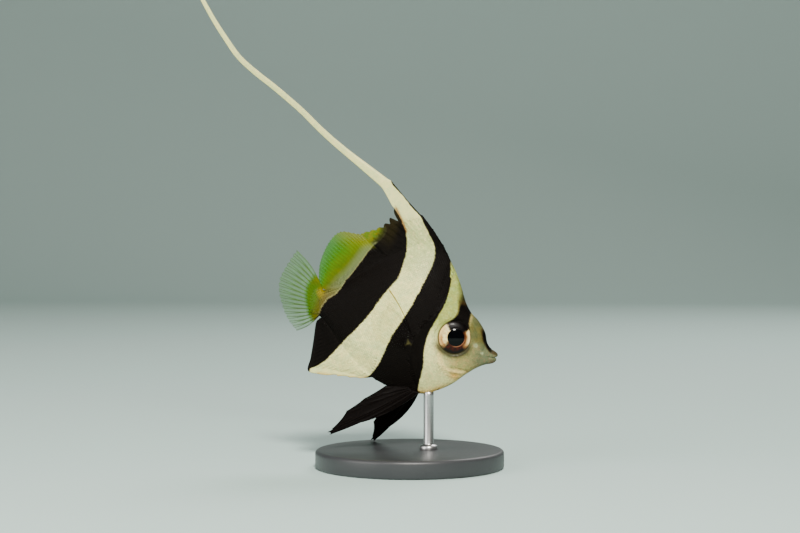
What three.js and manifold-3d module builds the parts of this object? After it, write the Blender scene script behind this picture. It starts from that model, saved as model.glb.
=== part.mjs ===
// A young bannerfish, life size, nosing downwards on a plain display stand. Millimetres, +Z up, +X forward.
//
// The fish is shaped straight and level in its own frame, with the snout tip at the origin, and is then bent
// sideways behind the middle, tipped nose down and set on its rod. Lengths along the fish are counted
// backwards from the snout tip, so "behind" is -x. +y is the fish's left.
import * as THREE from 'three';
import { mergeVertices } from 'three/addons/utils/BufferGeometryUtils.js';
import Module from 'manifold-3d';

// ---------------------------------------------------------------- driving dimensions

const BODY_LENGTH = 50; // snout tip to the root of the tail fin
const NOSE_DOWN_DEG = 19;
const GAP = 0.3; // between pieces that touch
const FIN_MARGIN_HALF = 0.25; // half the thickness of a fin at its margin
const FIN_ROOT_HALF = 0.62; // half the thickness where an upright fin meets the back or the belly
const RAY_RIDGE = 0.13; // how far a ray stands up from the membrane, on each face

const EYE = { behind: 12.85, up: 1.72, radius: 4.3, pupil: 1.75 };
const STAND = { radius: 26, thick: 5, edge: 0.8, rodRadius: 1.4, fishBelow: 22.6, clear: 2.6 };

// Outline of the body without its fins: [behind, up].
const BACK = [
  [0, 1.15], [0.7, 1.5], [2.2, 1.95], [3.9, 3.2], [5.3, 5.6], [7.9, 7.95], [10.8, 9.6], [13, 11.7],
  [16.4, 16.4], [20, 20.4], [24, 22.6], [29, 22.5], [35, 18.9], [41, 12.8], [46, 6.3], [BODY_LENGTH, 1.8],
];
const BELLY = [
  [0, -1.35], [2.1, -2.45], [3.6, -3.6], [5.2, -5.2], [7, -7.5], [9.2, -10.6], [12.3, -13.5], [15.5, -15.7],
  [19.5, -16.8], [24, -17.2], [30, -16.5], [36, -14.2], [42, -10.7], [47, -7.1], [BODY_LENGTH, -5.4],
];
// Greatest half width of each cross-section, and the height where it lies.
const HALF_WIDTH = [
  [0, 1.05], [1.6, 1.45], [4, 1.9], [7, 2.75], [10, 3.6], [14, 4.35], [19, 4.85], [24, 5], [30, 4.6],
  [36, 3.75], [42, 2.6], [47, 1.75], [BODY_LENGTH, 1.5],
];
const WIDEST_LEVEL = [
  [0, -0.1], [4, -0.8], [9, -1.8], [15, -2.8], [24, -3.2], [34, -2.8], [42, -2.3], [BODY_LENGTH, -1.8],
];
// Half width of the blunt edge along the back and the belly.
const EDGE_HALF = [[0, 0.35], [3, 0.7], [10, 0.85], [20, 0.75], [BODY_LENGTH, 0.72]];
// How full a section is: 0.5 is an ellipse, 1 a parabola.
const SECTION_POWER = [[0, 0.5], [6, 0.62], [14, 0.85], [24, 0.95], [BODY_LENGTH, 0.7]];

// Rear edge of the gill cover, from the nape to the throat.
const GILL_EDGE = [
  [19.3, 22], [18.6, 12], [19.6, 6.5], [22, 2], [23.1, -2.5], [22.2, -7.5], [19.2, -12.5], [16.2, -18],
];
const TAIL_STALK_FROM = 46.2;

// ---------------------------------------------------------------- small tools

const wasm = await Module();
wasm.setup();

const clamp01 = (t) => Math.min(1, Math.max(0, t));
const ease = (t) => clamp01(t) ** 2 * (3 - 2 * clamp01(t));
const mix = (a, b, t) => a + (b - a) * t;
const mixPoint = (p, q, t) => p.map((value, i) => mix(value, q[i], t));

/** A smooth curve through a table of [place, value] rows. */
function along(table, place) {
  const last = table.length - 2;
  let i = table.findIndex((row) => row[0] > place) - 1;
  if (i < -1) i = last;
  i = Math.min(Math.max(i, 0), last);
  const [p0, p1, p2, p3] = [-1, 0, 1, 2].map((k) => table[Math.min(Math.max(i + k, 0), last + 1)]);
  const span = p2[0] - p1[0];
  const t = clamp01((place - p1[0]) / span);
  const slopeIn = ((p2[1] - p0[1]) / (p2[0] - p0[0])) * span;
  const slopeOut = ((p3[1] - p1[1]) / (p3[0] - p1[0])) * span;
  const t2 = t * t;
  const t3 = t2 * t;
  const start = (2 * t3 - 3 * t2 + 1) * p1[1] + (t3 - 2 * t2 + t) * slopeIn;
  const end = (3 * t2 - 2 * t3) * p2[1] + (t3 - t2) * slopeOut;
  return start + end;
}

function toGeometry(positions, index) {
  return new THREE.BufferGeometry()
    .setAttribute('position', new THREE.Float32BufferAttribute(positions, 3))
    .setIndex(index);
}

function toSolid(geometry) {
  const bare = geometry.clone().deleteAttribute('normal').deleteAttribute('uv');
  const merged = mergeVertices(bare, 1e-4);
  return new wasm.Manifold(new wasm.Mesh({
    numProp: 3,
    vertProperties: merged.attributes.position.array,
    triVerts: new Uint32Array(merged.index.array),
  }));
}

function fromSolid(solid) {
  const mesh = solid.getMesh();
  const positions = [];
  for (let i = 0; i < mesh.numVert; i += 1) {
    const start = i * mesh.numProp;
    positions.push(...mesh.vertProperties.slice(start, start + 3));
  }
  return toGeometry(positions, Array.from(mesh.triVerts));
}

/** The same surface with every face turned over. */
function flipped(geometry) {
  const index = Array.from(geometry.index.array);
  for (let k = 0; k < index.length; k += 3) [index[k + 1], index[k + 2]] = [index[k + 2], index[k + 1]];
  return geometry.setIndex(index);
}

/** A closed surface with its faces pointing out, whichever way it was wound. */
const facingOut = (geometry) => (toSolid(geometry).volume() < 0 ? flipped(geometry) : geometry);

/** The largest closed piece of a solid. */
function largest(solid) {
  return solid.decompose().sort((a, b) => b.volume() - a.volume())[0];
}

/** A closed skin over rings of points, with a flat fan at each end. */
function loft(rings) {
  const sides = rings[0].length;
  const positions = rings.flat(2);
  const index = [];
  const at = (ring, side) => ring * sides + (side % sides);
  for (let ring = 0; ring < rings.length - 1; ring += 1) {
    for (let side = 0; side < sides; side += 1) {
      const [a, b, c, d] = [at(ring, side), at(ring, side + 1), at(ring + 1, side + 1), at(ring + 1, side)];
      index.push(a, b, c, a, c, d);
    }
  }
  for (const [ring, flip] of [[0, true], [rings.length - 1, false]]) {
    const middle = positions.length / 3;
    for (let axis = 0; axis < 3; axis += 1) {
      positions.push(rings[ring].reduce((sum, point) => sum + point[axis], 0) / sides);
    }
    for (let side = 0; side < sides; side += 1) {
      const pair = [at(ring, side), at(ring, side + 1)];
      if (flip) pair.reverse();
      index.push(middle, ...pair);
    }
  }
  return toGeometry(positions, index);
}

/** A closed sheet over a grid of points [x, z], split alike on both faces, with its thickness across y. */
function sheet(columns, rows, place, half) {
  const positions = [];
  const index = [];
  for (const side of [1, -1]) {
    for (let i = 0; i < columns; i += 1) {
      for (let j = 0; j < rows; j += 1) {
        const [x, z] = place(i, j);
        positions.push(x, side * half(i, j), z);
      }
    }
  }
  const far = columns * rows;
  const at = (i, j) => i * rows + j;
  for (let i = 0; i < columns - 1; i += 1) {
    for (let j = 0; j < rows - 1; j += 1) {
      const [a, b, c, d] = [at(i, j), at(i + 1, j), at(i + 1, j + 1), at(i, j + 1)];
      index.push(a, b, c, a, c, d, far + a, far + c, far + b, far + a, far + d, far + c);
    }
  }
  const rim = [];
  for (let i = 0; i < columns - 1; i += 1) rim.push(at(i, 0));
  for (let j = 0; j < rows - 1; j += 1) rim.push(at(columns - 1, j));
  for (let i = columns - 1; i > 0; i -= 1) rim.push(at(i, rows - 1));
  for (let j = rows - 1; j > 0; j -= 1) rim.push(at(0, j));
  rim.forEach((a, k) => {
    const b = rim[(k + 1) % rim.length];
    index.push(a, far + a, b, b, far + a, far + b);
  });
  return facingOut(toGeometry(positions, index));
}

/** Moves every point of a geometry by a function of (x, y, z). */
function reshape(geometry, move) {
  const position = geometry.attributes.position;
  for (let i = 0; i < position.count; i += 1) {
    position.setXYZ(i, ...move(position.getX(i), position.getY(i), position.getZ(i)));
  }
  return geometry;
}

// ---------------------------------------------------------------- body

const gillEdgeCurve = new THREE.SplineCurve(GILL_EDGE.map(([behind, up]) => new THREE.Vector2(-behind, up)));
const GILL_POINTS = gillEdgeCurve.getPoints(36);

/** How far behind the gill cover's edge a point lies at its own height, in front being negative. */
function behindGill(behind, up) {
  let i = GILL_POINTS.findIndex((point) => point.y < up);
  if (i < 1) i = i === 0 ? 1 : GILL_POINTS.length - 1;
  const [p, q] = [GILL_POINTS[i - 1], GILL_POINTS[i]];
  return behind + mix(p.x, q.x, clamp01((up - p.y) / (q.y - p.y)));
}

/** Half width of the body at a place on its side. */
function halfWidth(behind, up) {
  const level = along(WIDEST_LEVEL, behind);
  const reach = up > level ? along(BACK, behind) - level : level - along(BELLY, behind);
  const t = clamp01(Math.abs(up - level) / reach);
  const edge = along(EDGE_HALF, behind);
  const lens = (1 - t * t) ** along(SECTION_POWER, behind);
  const gill = behindGill(behind, up);
  const coverFlare = 0.28 * ease(1 + gill / 3) * (gill < 0 ? 1 : 0) * lens;
  return edge + (along(HALF_WIDTH, behind) - edge) * lens + coverFlare;
}

/** The body from the snout to the tail fin's root, grown outwards by `grow`. */
function bodyGeometry(grow = 0) {
  const halfRing = 18;
  const places = [];
  for (let behind = 0; behind < 24; behind += 0.8) places.push(behind);
  for (let behind = 24; behind < BODY_LENGTH - 1; behind += 1.3) places.push(behind);
  places.push(BODY_LENGTH);
  const rings = places.map((behind) => {
    const top = along(BACK, behind);
    const bottom = along(BELLY, behind);
    const right = [];
    for (let k = 0; k <= halfRing; k += 1) {
      const up = mix(top, bottom, (1 - Math.cos((Math.PI * k) / halfRing)) / 2);
      const grown = up + grow * ((2 * (up - bottom)) / (top - bottom) - 1);
      right.push([-behind, -halfWidth(behind, up) - grow, grown]);
    }
    const left = right.map(([x, y, z]) => [x, -y, z]).reverse();
    return [...right, ...left];
  });
  return facingOut(loft(rings));
}

const bodySolid = (grow) => toSolid(bodyGeometry(grow));

/** A wall one gap thick that follows a curve seen from the side, for parting the body. */
function partingWall(points) {
  const shape = new THREE.Shape();
  const sides = points.map((point, i) => {
    const before = points[Math.max(i - 1, 0)];
    const after = points[Math.min(i + 1, points.length - 1)];
    const across = after.clone().sub(before).normalize().multiplyScalar(GAP / 2);
    across.set(-across.y, across.x);
    return [point.clone().add(across), point.clone().sub(across)];
  });
  shape.setFromPoints([...sides.map((pair) => pair[0]), ...sides.map((pair) => pair[1]).reverse()]);
  const width = 16;
  return new THREE.ExtrudeGeometry(shape, { depth: width, bevelEnabled: false })
    .translate(0, 0, -width / 2)
    .rotateX(Math.PI / 2);
}

// ---------------------------------------------------------------- eyes, mouth, nostrils

/** An eyeball turned about its own axis: a flattened ball with a raised pupil, its front pole towards +y. */
function eyeGeometry(grow = 0) {
  const { radius, pupil } = EYE;
  const bulge = 1.15;
  const depth = 2.3;
  const profile = [new THREE.Vector2(0, -depth - grow)];
  for (let k = 1; k <= 5; k += 1) {
    const angle = (Math.PI / 2) * (k / 5);
    profile.push(new THREE.Vector2((radius + grow) * Math.sin(angle), -(depth + grow) * Math.cos(angle)));
  }
  if (grow > 0) {
    const mouthOfSocket = 4;
    profile.push(new THREE.Vector2(radius + grow, mouthOfSocket), new THREE.Vector2(0, mouthOfSocket));
  } else {
    const lens = 0.14;
    for (const share of [0.97, 0.88, 0.74, 0.58, 0.44]) {
      profile.push(new THREE.Vector2(radius * share, bulge * Math.sqrt(1 - share * share)));
    }
    const pupilRim = pupil / radius;
    profile.push(new THREE.Vector2(pupil * 0.92, bulge * Math.sqrt(1 - pupilRim ** 2) + lens));
    profile.push(new THREE.Vector2(pupil * 0.45, bulge + lens * 0.8), new THREE.Vector2(0, bulge + lens));
  }
  return new THREE.LatheGeometry(profile, 26);
}

/** Seats the right (-1) or left (+1) eye flush with the side of the head, looking a little forwards and up. */
function seatEye(geometry, side) {
  const { behind, up, radius } = EYE;
  const [front, rear, top, bottom] = [
    halfWidth(behind - radius, up), halfWidth(behind + radius, up),
    halfWidth(behind, up + radius), halfWidth(behind, up - radius),
  ];
  const slopes = [(rear - front) / (2 * radius), (bottom - top) / (2 * radius)];
  const outward = new THREE.Vector3(slopes[0], 1, slopes[1]).normalize();
  const flush = Math.min(front, rear, top, bottom);
  const seat = mix(flush, halfWidth(behind, up), 0.35) - 0.15;
  geometry.applyQuaternion(new THREE.Quaternion().setFromUnitVectors(new THREE.Vector3(0, 1, 0), outward));
  geometry.translate(-behind, seat, up);
  return side > 0 ? geometry : flipped(geometry.scale(1, -1, 1));
}

// Each lip is a roll across the snout's end: how far behind the tip, how high, its radius and half its span.
const LIPS = [
  { behind: 0.5, up: 0.75, radius: 0.62, halfSpan: 0.45 },
  { behind: 0.3, up: -0.55, radius: 0.72, halfSpan: 0.36 },
];
const MOUTH = { up: 0.18, deep: 2.1, tilt: 0.12 };
const NOSTRILS = [{ behind: 6.5, up: 1.5, radius: 0.34 }, { behind: 7.7, up: 2.4, radius: 0.4 }];

/** The head with its lips, the slit of the mouth, the pits of the nostrils and the eye sockets. */
function withFace(head) {
  let face = head;
  for (const { behind, up, radius, halfSpan } of LIPS) {
    face = face.add(toSolid(new THREE.CapsuleGeometry(radius, 2 * halfSpan, 4, 12).translate(-behind, 0, up)));
  }
  const slit = new THREE.BoxGeometry(2 * MOUTH.deep, 8, GAP).rotateY(MOUTH.tilt).translate(0, 0, MOUTH.up);
  face = face.subtract(toSolid(slit));
  for (const side of [-1, 1]) {
    for (const { behind, up, radius } of NOSTRILS) {
      const out = halfWidth(behind, up) + 0.08;
      const pit = new THREE.SphereGeometry(radius, 8, 6).translate(-behind, side * out, up);
      face = face.subtract(toSolid(pit));
    }
    face = face.subtract(toSolid(seatEye(eyeGeometry(GAP), side)));
  }
  return face;
}

// ---------------------------------------------------------------- fins

/**
 * A fin from its rays. Each ray is { base, tip, bow, spine }, with points as [behind, up]. Between two rays the
 * membrane's margin is cut back by `notch` of its length. `halfAt(share)` is half the membrane's thickness.
 */
function finGeometry(rays, { rows = 6, notch = 0.05, halfAt, ridge = RAY_RIDGE }) {
  const columns = [];
  rays.forEach((ray, i) => {
    columns.push({ ...ray, crest: ray.edge ? 0.4 : 1, reach: 1 });
    if (i === rays.length - 1) return;
    const next = rays[i + 1];
    const webNotch = ray.webNotch ?? notch;
    columns.push({
      base: mixPoint(ray.base, next.base, 0.5),
      tip: ray.webTip ?? mixPoint(ray.tip, next.tip, 0.5),
      bow: mix(ray.bow ?? 0, next.bow ?? 0, 0.5),
      crest: 0,
      reach: 1 - webNotch,
    });
  });
  const place = (i, j) => {
    const { base, tip, bow = 0, reach } = columns[i];
    const share = (j / (rows - 1)) * reach;
    const along2 = [tip[0] - base[0], tip[1] - base[1]];
    const lift = bow * 4 * share * (1 - share);
    return [-(base[0] + along2[0] * share - along2[1] * lift), base[1] + along2[1] * share + along2[0] * lift];
  };
  const half = (i, j) => {
    const share = j / (rows - 1);
    return halfAt(share) + columns[i].crest * ridge * (1 - 0.5 * share);
  };
  return sheet(columns.length, rows, place, half);
}

/** Half thickness of an upright fin: as thick as the back's edge at its root, thinning to its margin. */
const uprightHalf = (share) => mix(FIN_ROOT_HALF - RAY_RIDGE, FIN_MARGIN_HALF, ease(share * 1.25));

/** `count` rays whose bases follow `root(share)` and whose tips follow a smooth line through `tips`. */
function fanRays(count, root, tips, bow = () => 0) {
  const margin = new THREE.SplineCurve(tips.map((point) => new THREE.Vector2(...point)));
  return Array.from({ length: count }, (_, i) => {
    const share = i / (count - 1);
    const tip = margin.getPointAt(share);
    return { base: root(share), tip: [tip.x, tip.y], bow: bow(share) };
  });
}

/** A root point that keeps the gap above the back, or below the belly. */
const onBack = (behind) => [behind, along(BACK, behind) + GAP];
const onBelly = (behind) => [behind, along(BELLY, behind) - GAP];

// The first three spines lean on the fourth, which carries the banner. Those behind it have free tips.
const BANNER_KINK = { front: [43.4, 36.55], rear: [44.9, 33.6] };
const SPINE_TIPS = [
  [24.3, 24.7], [28, 27.6], [32.2, 30.5], BANNER_KINK.front, [40, 29.3], [40.6, 26.8], [41.5, 25],
  [42.7, 23.5], [44.2, 22.1], [45.6, 21.1], [46.9, 20.1],
];
const FIRST_SPINE = 21.2;
const LAST_SPINE = 37.3;
const SOFT_DORSAL_FROM = 38;
const SOFT_DORSAL_TO = 49.3;

function spinyDorsal() {
  const rays = SPINE_TIPS.map((tip, i) => {
    const behind = mix(FIRST_SPINE, LAST_SPINE, i / (SPINE_TIPS.length - 1));
    const ray = { base: onBack(behind), tip, bow: 0.03 };
    if (i < 3) ray.webNotch = 0.01;
    if (i === 3) Object.assign(ray, { webTip: BANNER_KINK.rear, webNotch: 0, bow: 0.02 });
    if (i > 3) ray.webNotch = 0.16;
    return ray;
  });
  return finGeometry(rays, { rows: 9, halfAt: uprightHalf, ridge: 0.16 });
}

function softDorsal() {
  const tips = [
    [47.5, 19.6], [49.2, 19.4], [50.8, 19], [52.3, 17.6], [53.4, 14.8], [53.9, 11.3], [53.8, 8.2],
    [52.85, 5.5], [51.3, 3.3],
  ];
  const root = (share) => onBack(mix(SOFT_DORSAL_FROM, SOFT_DORSAL_TO, share));
  const rays = fanRays(24, root, tips, (share) => 0.04 * share);
  return finGeometry(rays, { rows: 6, notch: 0.03, halfAt: uprightHalf });
}

function analFin() {
  const spines = [[31.4, 33.8, -17.7], [32.8, 36.6, -18.5], [34.2, 40, -19.3]]
    .map(([behind, tipBehind, tipUp]) => ({ base: onBelly(behind), tip: [tipBehind, tipUp], webNotch: 0.12 }));
  const tips = [
    [42.6, -20], [44.9, -20.55], [48.35, -20.75], [48.8, -17.2], [49.7, -12], [50.5, -8.2], [50.6, -6.9],
  ];
  const root = (share) => onBelly(mix(35.4, 49, share));
  return finGeometry([...spines, ...fanRays(18, root, tips)], { rows: 6, notch: 0.02, halfAt: uprightHalf });
}

/** The tail fin, spread, with its lower lobe folded a little and swept to the left. */
function tailFin() {
  const tips = [
    [61.5, 9.8], [62.6, 5.9], [63.3, 2.7], [63.7, -0.4],
    [63.3, -3.7], [61.4, -6.9], [58.9, -9.7], [55.5, -12],
  ];
  const root = (share) => [BODY_LENGTH + GAP, mix(1.65, -5.25, share)];
  const bow = (share) => 0.07 * (1 - 2 * share);
  const halfAt = (share) => mix(0.85, FIN_MARGIN_HALF, ease(share * 2.2));
  const fin = finGeometry(fanRays(17, root, tips, bow), { rows: 7, notch: 0.03, halfAt });
  return reshape(fin, (x, y, z) => {
    const below = Math.max(0, -1.8 - z) / 9.5;
    return [x, y + 3.4 * below ** 1.6, z];
  });
}

/** A pelvic fin in its own upright plane: one spine and five rays, the first two drawn out to a point. */
function pelvicGeometry() {
  const rays = [
    { base: [0, 0.9], tip: [11.6, -11.95], bow: -0.05 },
    { base: [0.9, 0.9], tip: [19.9, -18.85], bow: -0.035 },
    { base: [1.7, 0.9], tip: [20.7, -18.4], bow: -0.024 },
    { base: [2.4, 0.9], tip: [17.5, -11] },
    { base: [3.1, 0.9], tip: [14.1, -6.2] },
    { base: [3.8, 0.9], tip: [9.7, -0.9] },
  ];
  rays[0].webTip = [15.5, -14.6];
  rays[2].webTip = [19.7, -17];
  const halfAt = (share) => mix(0.75, FIN_MARGIN_HALF, ease(share * 1.6));
  return finGeometry(rays, { rows: 8, notch: 0.05, halfAt, ridge: 0.18 });
}

const PELVIC_ROOT = { behind: 16.7, up: -16.2, apart: 1.35 };
const PELVIC_POSE = {
  right: { side: -1, splayDeg: 9, forwardDeg: 0 },
  left: { side: 1, splayDeg: 42, forwardDeg: 28 },
};

function pelvicFin({ side, splayDeg, forwardDeg }) {
  const radians = THREE.MathUtils.degToRad;
  const fin = pelvicGeometry()
    .rotateY(-radians(forwardDeg))
    .rotateX(side * radians(splayDeg))
    .translate(-PELVIC_ROOT.behind, side * PELVIC_ROOT.apart, PELVIC_ROOT.up);
  return largest(toSolid(fin).subtract(bodySolid(GAP)));
}

/** A pectoral fin: a fan held a little away from the side of the body. */
function pectoralFin(side) {
  const tips = [[34.9, 8.9], [36.7, 6], [37.5, 2.6], [37.2, -0.8], [35.1, -3.8], [31.7, -5.6]];
  const root = (share) => mixPoint([23.2, -2.4], [24.2, -5.5], share);
  const rays = fanRays(15, root, tips, (share) => mix(0.05, -0.04, share));
  const halfAt = (share) => mix(0.5, FIN_MARGIN_HALF, ease(share * 3));
  const fin = reshape(finGeometry(rays, { rows: 6, notch: 0.03, halfAt, ridge: 0.1 }), (x, y, z) => {
    const out = Math.max(0, -x - 23.2);
    const sideways = halfWidth(23.2, -3.6) - 0.6 + 0.42 * out + 0.35 * Math.sin(out / 4);
    return [x + 0.1 * out, y + sideways, z];
  });
  const solid = largest(toSolid(fin).subtract(bodySolid(GAP)));
  return side > 0 ? solid : solid.scale([1, -1, 1]);
}

// ---------------------------------------------------------------- banner

// Middle line of the long white streamer beyond its kink: [behind, left, up]. It leaves the bent fin in line.
const BANNER_LINE = [
  [44.3, 1.8, 35.1], [48.4, 2.4, 36.6], [59.6, 3.5, 40.6], [66.4, 3.5, 43.4], [73.4, 3, 46.8],
  [81.8, 2, 50.2], [89.9, 0.9, 52.9], [94.6, 0.3, 54.9], [99.1, 0, 58.3], [103.8, -0.2, 62.3],
  [108.6, -0.2, 66.6], [115.5, 0.2, 73.2], [121, 0.9, 81], [124.6, 1.8, 90],
];
// Half its width, seen from the side, at shares of its length.
const BANNER_HALF = [
  [0, 1.5], [0.05, 1.28], [0.14, 0.98], [0.3, 0.86], [0.5, 0.88], [0.68, 0.66], [0.85, 0.45], [1, 0.16],
];
const bannerCurve = new THREE.CatmullRomCurve3(
  BANNER_LINE.map(([behind, left, up]) => new THREE.Vector3(-behind, left, up)),
);

function bannerLength(from, to) {
  const steps = 15;
  const rings = [];
  for (let k = 0; k <= steps; k += 1) {
    const share = mix(from, to, k / steps);
    const centre = bannerCurve.getPointAt(share);
    const forward = bannerCurve.getTangentAt(share);
    const across = new THREE.Vector3(0, 1, 0).cross(forward).normalize();
    const left = forward.clone().cross(across).normalize();
    const wide = along(BANNER_HALF, share);
    const thick = Math.min(wide, mix(0.42, 0.26, share));
    rings.push(Array.from({ length: 8 }, (_, side) => {
      const angle = (side / 8) * Math.PI * 2;
      return centre.clone()
        .addScaledVector(across, wide * Math.cos(angle))
        .addScaledVector(left, thick * Math.sin(angle))
        .toArray();
    }));
  }
  return facingOut(loft(rings));
}

// ---------------------------------------------------------------- pose

/** The sideways bend of the body, growing towards the tail, whose upper part is also set further back. */
const BEND_FROM = 26;
const BEND_RATE = 0.0054;
const TAIL_BACK = 1.25;
const bend = (x, y, z) => [
  x - TAIL_BACK * ease((-x - 47) / 4) * ease((z + 6) / 8),
  y + BEND_RATE * Math.max(0, -x - BEND_FROM) ** 2,
  z,
];

const fish = new THREE.Group();
fish.rotation.y = THREE.MathUtils.degToRad(NOSE_DOWN_DEG);
const BASE_TOP = STAND.thick;
fish.position.set(24, 0, BASE_TOP + STAND.fishBelow + STAND.clear);

const COLOURS = {
  skin: { color: 0xe6e6d8, roughness: 0.4 },
  black: { color: 0x14100e, roughness: 0.4 },
  yellow: { color: 0xb9b81c, roughness: 0.45 },
  clear: { color: 0xe2dca8, roughness: 0.4 },
  eye: { color: 0x1b1512, roughness: 0.1 },
  base: { color: 0x2c2c2e, roughness: 0.55 },
  steel: { color: 0x9a9a9c, roughness: 0.35, metalness: 1 },
};
const materials = Object.fromEntries(
  Object.entries(COLOURS).map(([name, look]) => [name, new THREE.MeshStandardMaterial(look)]),
);

function addNode(parent, name, geometry, material, bent = true) {
  const mesh = new THREE.Mesh(bent ? reshape(geometry, bend) : geometry, materials[material]);
  mesh.name = name;
  parent.add(mesh);
}

// ---------------------------------------------------------------- the fish

const stalkCut = [new THREE.Vector2(-TAIL_STALK_FROM, 30), new THREE.Vector2(-TAIL_STALK_FROM, -30)];
const body = bodySolid(0);
const pieces = body
  .subtract(toSolid(partingWall(GILL_POINTS)))
  .subtract(toSolid(partingWall(stalkCut)))
  .decompose()
  .sort((a, b) => b.boundingBox().max[0] - a.boundingBox().max[0]);
const [headPiece, trunkPiece, stalkPiece] = pieces;

addNode(fish, 'head', fromSolid(largest(withFace(headPiece))), 'skin');
addNode(fish, 'trunk', fromSolid(trunkPiece), 'skin');
addNode(fish, 'tail_stalk', fromSolid(stalkPiece), 'yellow');
addNode(fish, 'eye_right', seatEye(eyeGeometry(), -1), 'eye');
addNode(fish, 'eye_left', seatEye(eyeGeometry(), 1), 'eye');
addNode(fish, 'dorsal_fin_spines', spinyDorsal(), 'black');
addNode(fish, 'dorsal_fin_soft', softDorsal(), 'yellow');
addNode(fish, 'anal_fin', analFin(), 'skin');
addNode(fish, 'tail_fin', tailFin(), 'yellow');
addNode(fish, 'pelvic_fin_right', fromSolid(pelvicFin(PELVIC_POSE.right)), 'black');
addNode(fish, 'pelvic_fin_left', fromSolid(pelvicFin(PELVIC_POSE.left)), 'black');
addNode(fish, 'pectoral_fin_right', fromSolid(pectoralFin(-1)), 'clear');
addNode(fish, 'pectoral_fin_left', fromSolid(pectoralFin(1)), 'clear');
['banner_lower', 'banner_middle', 'banner_tip'].forEach((name, i, all) => {
  const gapShare = GAP / bannerCurve.getLength();
  addNode(fish, name, bannerLength(i / all.length + gapShare, (i + 1) / all.length), 'skin', false);
});

// ---------------------------------------------------------------- the stand

const object = new THREE.Group();
object.add(fish);

const baseProfile = [
  [0, 0], [STAND.radius, 0], [STAND.radius, STAND.thick - STAND.edge],
  [STAND.radius - STAND.edge, STAND.thick], [0, STAND.thick],
].map((point) => new THREE.Vector2(...point));
addNode(object, 'stand_base', new THREE.LatheGeometry(baseProfile, 64).rotateX(Math.PI / 2), 'base', false);

// The rod comes up under the throat, in front of the pelvic fins.
const ROD_UNDER = { behind: 14.6 };
fish.updateMatrixWorld(true);
const throat = new THREE.Vector3(-ROD_UNDER.behind, 0, along(BELLY, ROD_UNDER.behind));
throat.applyMatrix4(fish.matrixWorld);
const rodTop = throat.z + 1.5;
const rodBottom = BASE_TOP + GAP;
const rod = new THREE.CylinderGeometry(STAND.rodRadius, STAND.rodRadius, rodTop - rodBottom, 24)
  .rotateX(Math.PI / 2)
  .translate(throat.x, 0, (rodTop + rodBottom) / 2);
const grownBody = fromSolid(bodySolid(GAP)).applyMatrix4(fish.matrixWorld);
addNode(object, 'stand_rod', fromSolid(largest(toSolid(rod).subtract(toSolid(grownBody)))), 'steel', false);

export default object;
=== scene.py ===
import math
import random

import bmesh
import bpy
import numpy as np
from mathutils import Matrix, Vector
from mathutils.bvhtree import BVHTree


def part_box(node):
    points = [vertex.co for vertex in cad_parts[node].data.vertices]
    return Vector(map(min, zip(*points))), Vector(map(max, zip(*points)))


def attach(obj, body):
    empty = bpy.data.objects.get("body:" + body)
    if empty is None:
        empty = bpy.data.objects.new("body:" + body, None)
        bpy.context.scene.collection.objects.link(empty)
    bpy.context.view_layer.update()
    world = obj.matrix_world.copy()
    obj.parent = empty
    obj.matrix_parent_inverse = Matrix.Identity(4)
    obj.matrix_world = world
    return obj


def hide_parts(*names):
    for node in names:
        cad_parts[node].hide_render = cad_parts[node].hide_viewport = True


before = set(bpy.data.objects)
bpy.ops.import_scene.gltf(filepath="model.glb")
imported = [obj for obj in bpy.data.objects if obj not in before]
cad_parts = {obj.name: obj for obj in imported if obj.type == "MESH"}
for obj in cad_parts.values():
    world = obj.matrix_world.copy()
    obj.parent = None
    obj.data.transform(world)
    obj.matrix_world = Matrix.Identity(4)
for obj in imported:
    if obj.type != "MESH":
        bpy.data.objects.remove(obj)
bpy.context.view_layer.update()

MM = 0.001
SIDES = {"right": -1, "left": 1}

# ---------------------------------------------------------------- the fish's sizes, as in the solids

BODY_LENGTH = 50  # snout tip to the root of the tail fin
TAIL_COVER = 3.4  # how far the skin runs out over the tail fin
NOSE_DOWN = math.radians(19)
BEND_FROM, BEND_RATE = 26, 0.0054
TAIL_BACK = 1.25  # the upper part of the tail's root is set this much further back
TAIL_SWEEP = 3.4  # the lowest part of the tail fin is swept this far to the left
BANNER_ABOVE = 24  # behind the body only the banner lies higher than this
SNOUT_ABOVE_BASE = 25.2
LIP_PROUD = 0.39  # how far the lower lip reaches in front of the snout tip, along the world's X

BACK = [
    (0, 1.15), (0.7, 1.5), (2.2, 1.95), (3.9, 3.2), (5.3, 5.6), (7.9, 7.95), (10.8, 9.6), (13, 11.7),
    (16.4, 16.4), (20, 20.4), (24, 22.6), (29, 22.5), (35, 18.9), (41, 12.8), (46, 6.3), (50, 2),
    (51.6, 2.2), (53.4, 2.8),
]
BELLY = [
    (0, -1.35), (2.1, -2.45), (3.6, -3.6), (5.2, -5.2), (7, -7.5), (9.2, -10.6), (12.3, -13.5), (15.5, -15.7),
    (19.5, -16.8), (24, -17.2), (30, -16.5), (36, -14.2), (42, -10.7), (47, -7.1), (50, -5.4),
    (51.6, -5.6), (53.4, -6.4),
]
HALF_WIDTH = [
    (0, 1.05), (1.6, 1.45), (4, 1.9), (7, 2.75), (10, 3.6), (14, 4.35), (19, 4.85), (24, 5), (30, 4.6),
    (36, 3.75), (42, 2.6), (47, 1.75), (50, 1.35), (51.4, 0.8), (52.6, 0.42), (53.4, 0.3),
]
WIDEST_LEVEL = [
    (0, -0.1), (4, -0.8), (9, -1.8), (15, -2.8), (24, -3.2), (34, -2.8), (42, -2.3), (50, -1.8), (53.4, -1.8),
]
EDGE_HALF = [(0, 0.35), (3, 0.7), (10, 0.85), (20, 0.75), (50, 0.7), (51.2, 0.42), (52.2, 0.26), (53.4, 0.14)]
SECTION_POWER = [(0, 0.5), (6, 0.62), (14, 0.85), (24, 0.95), (50, 0.7), (53.4, 0.7)]
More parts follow.
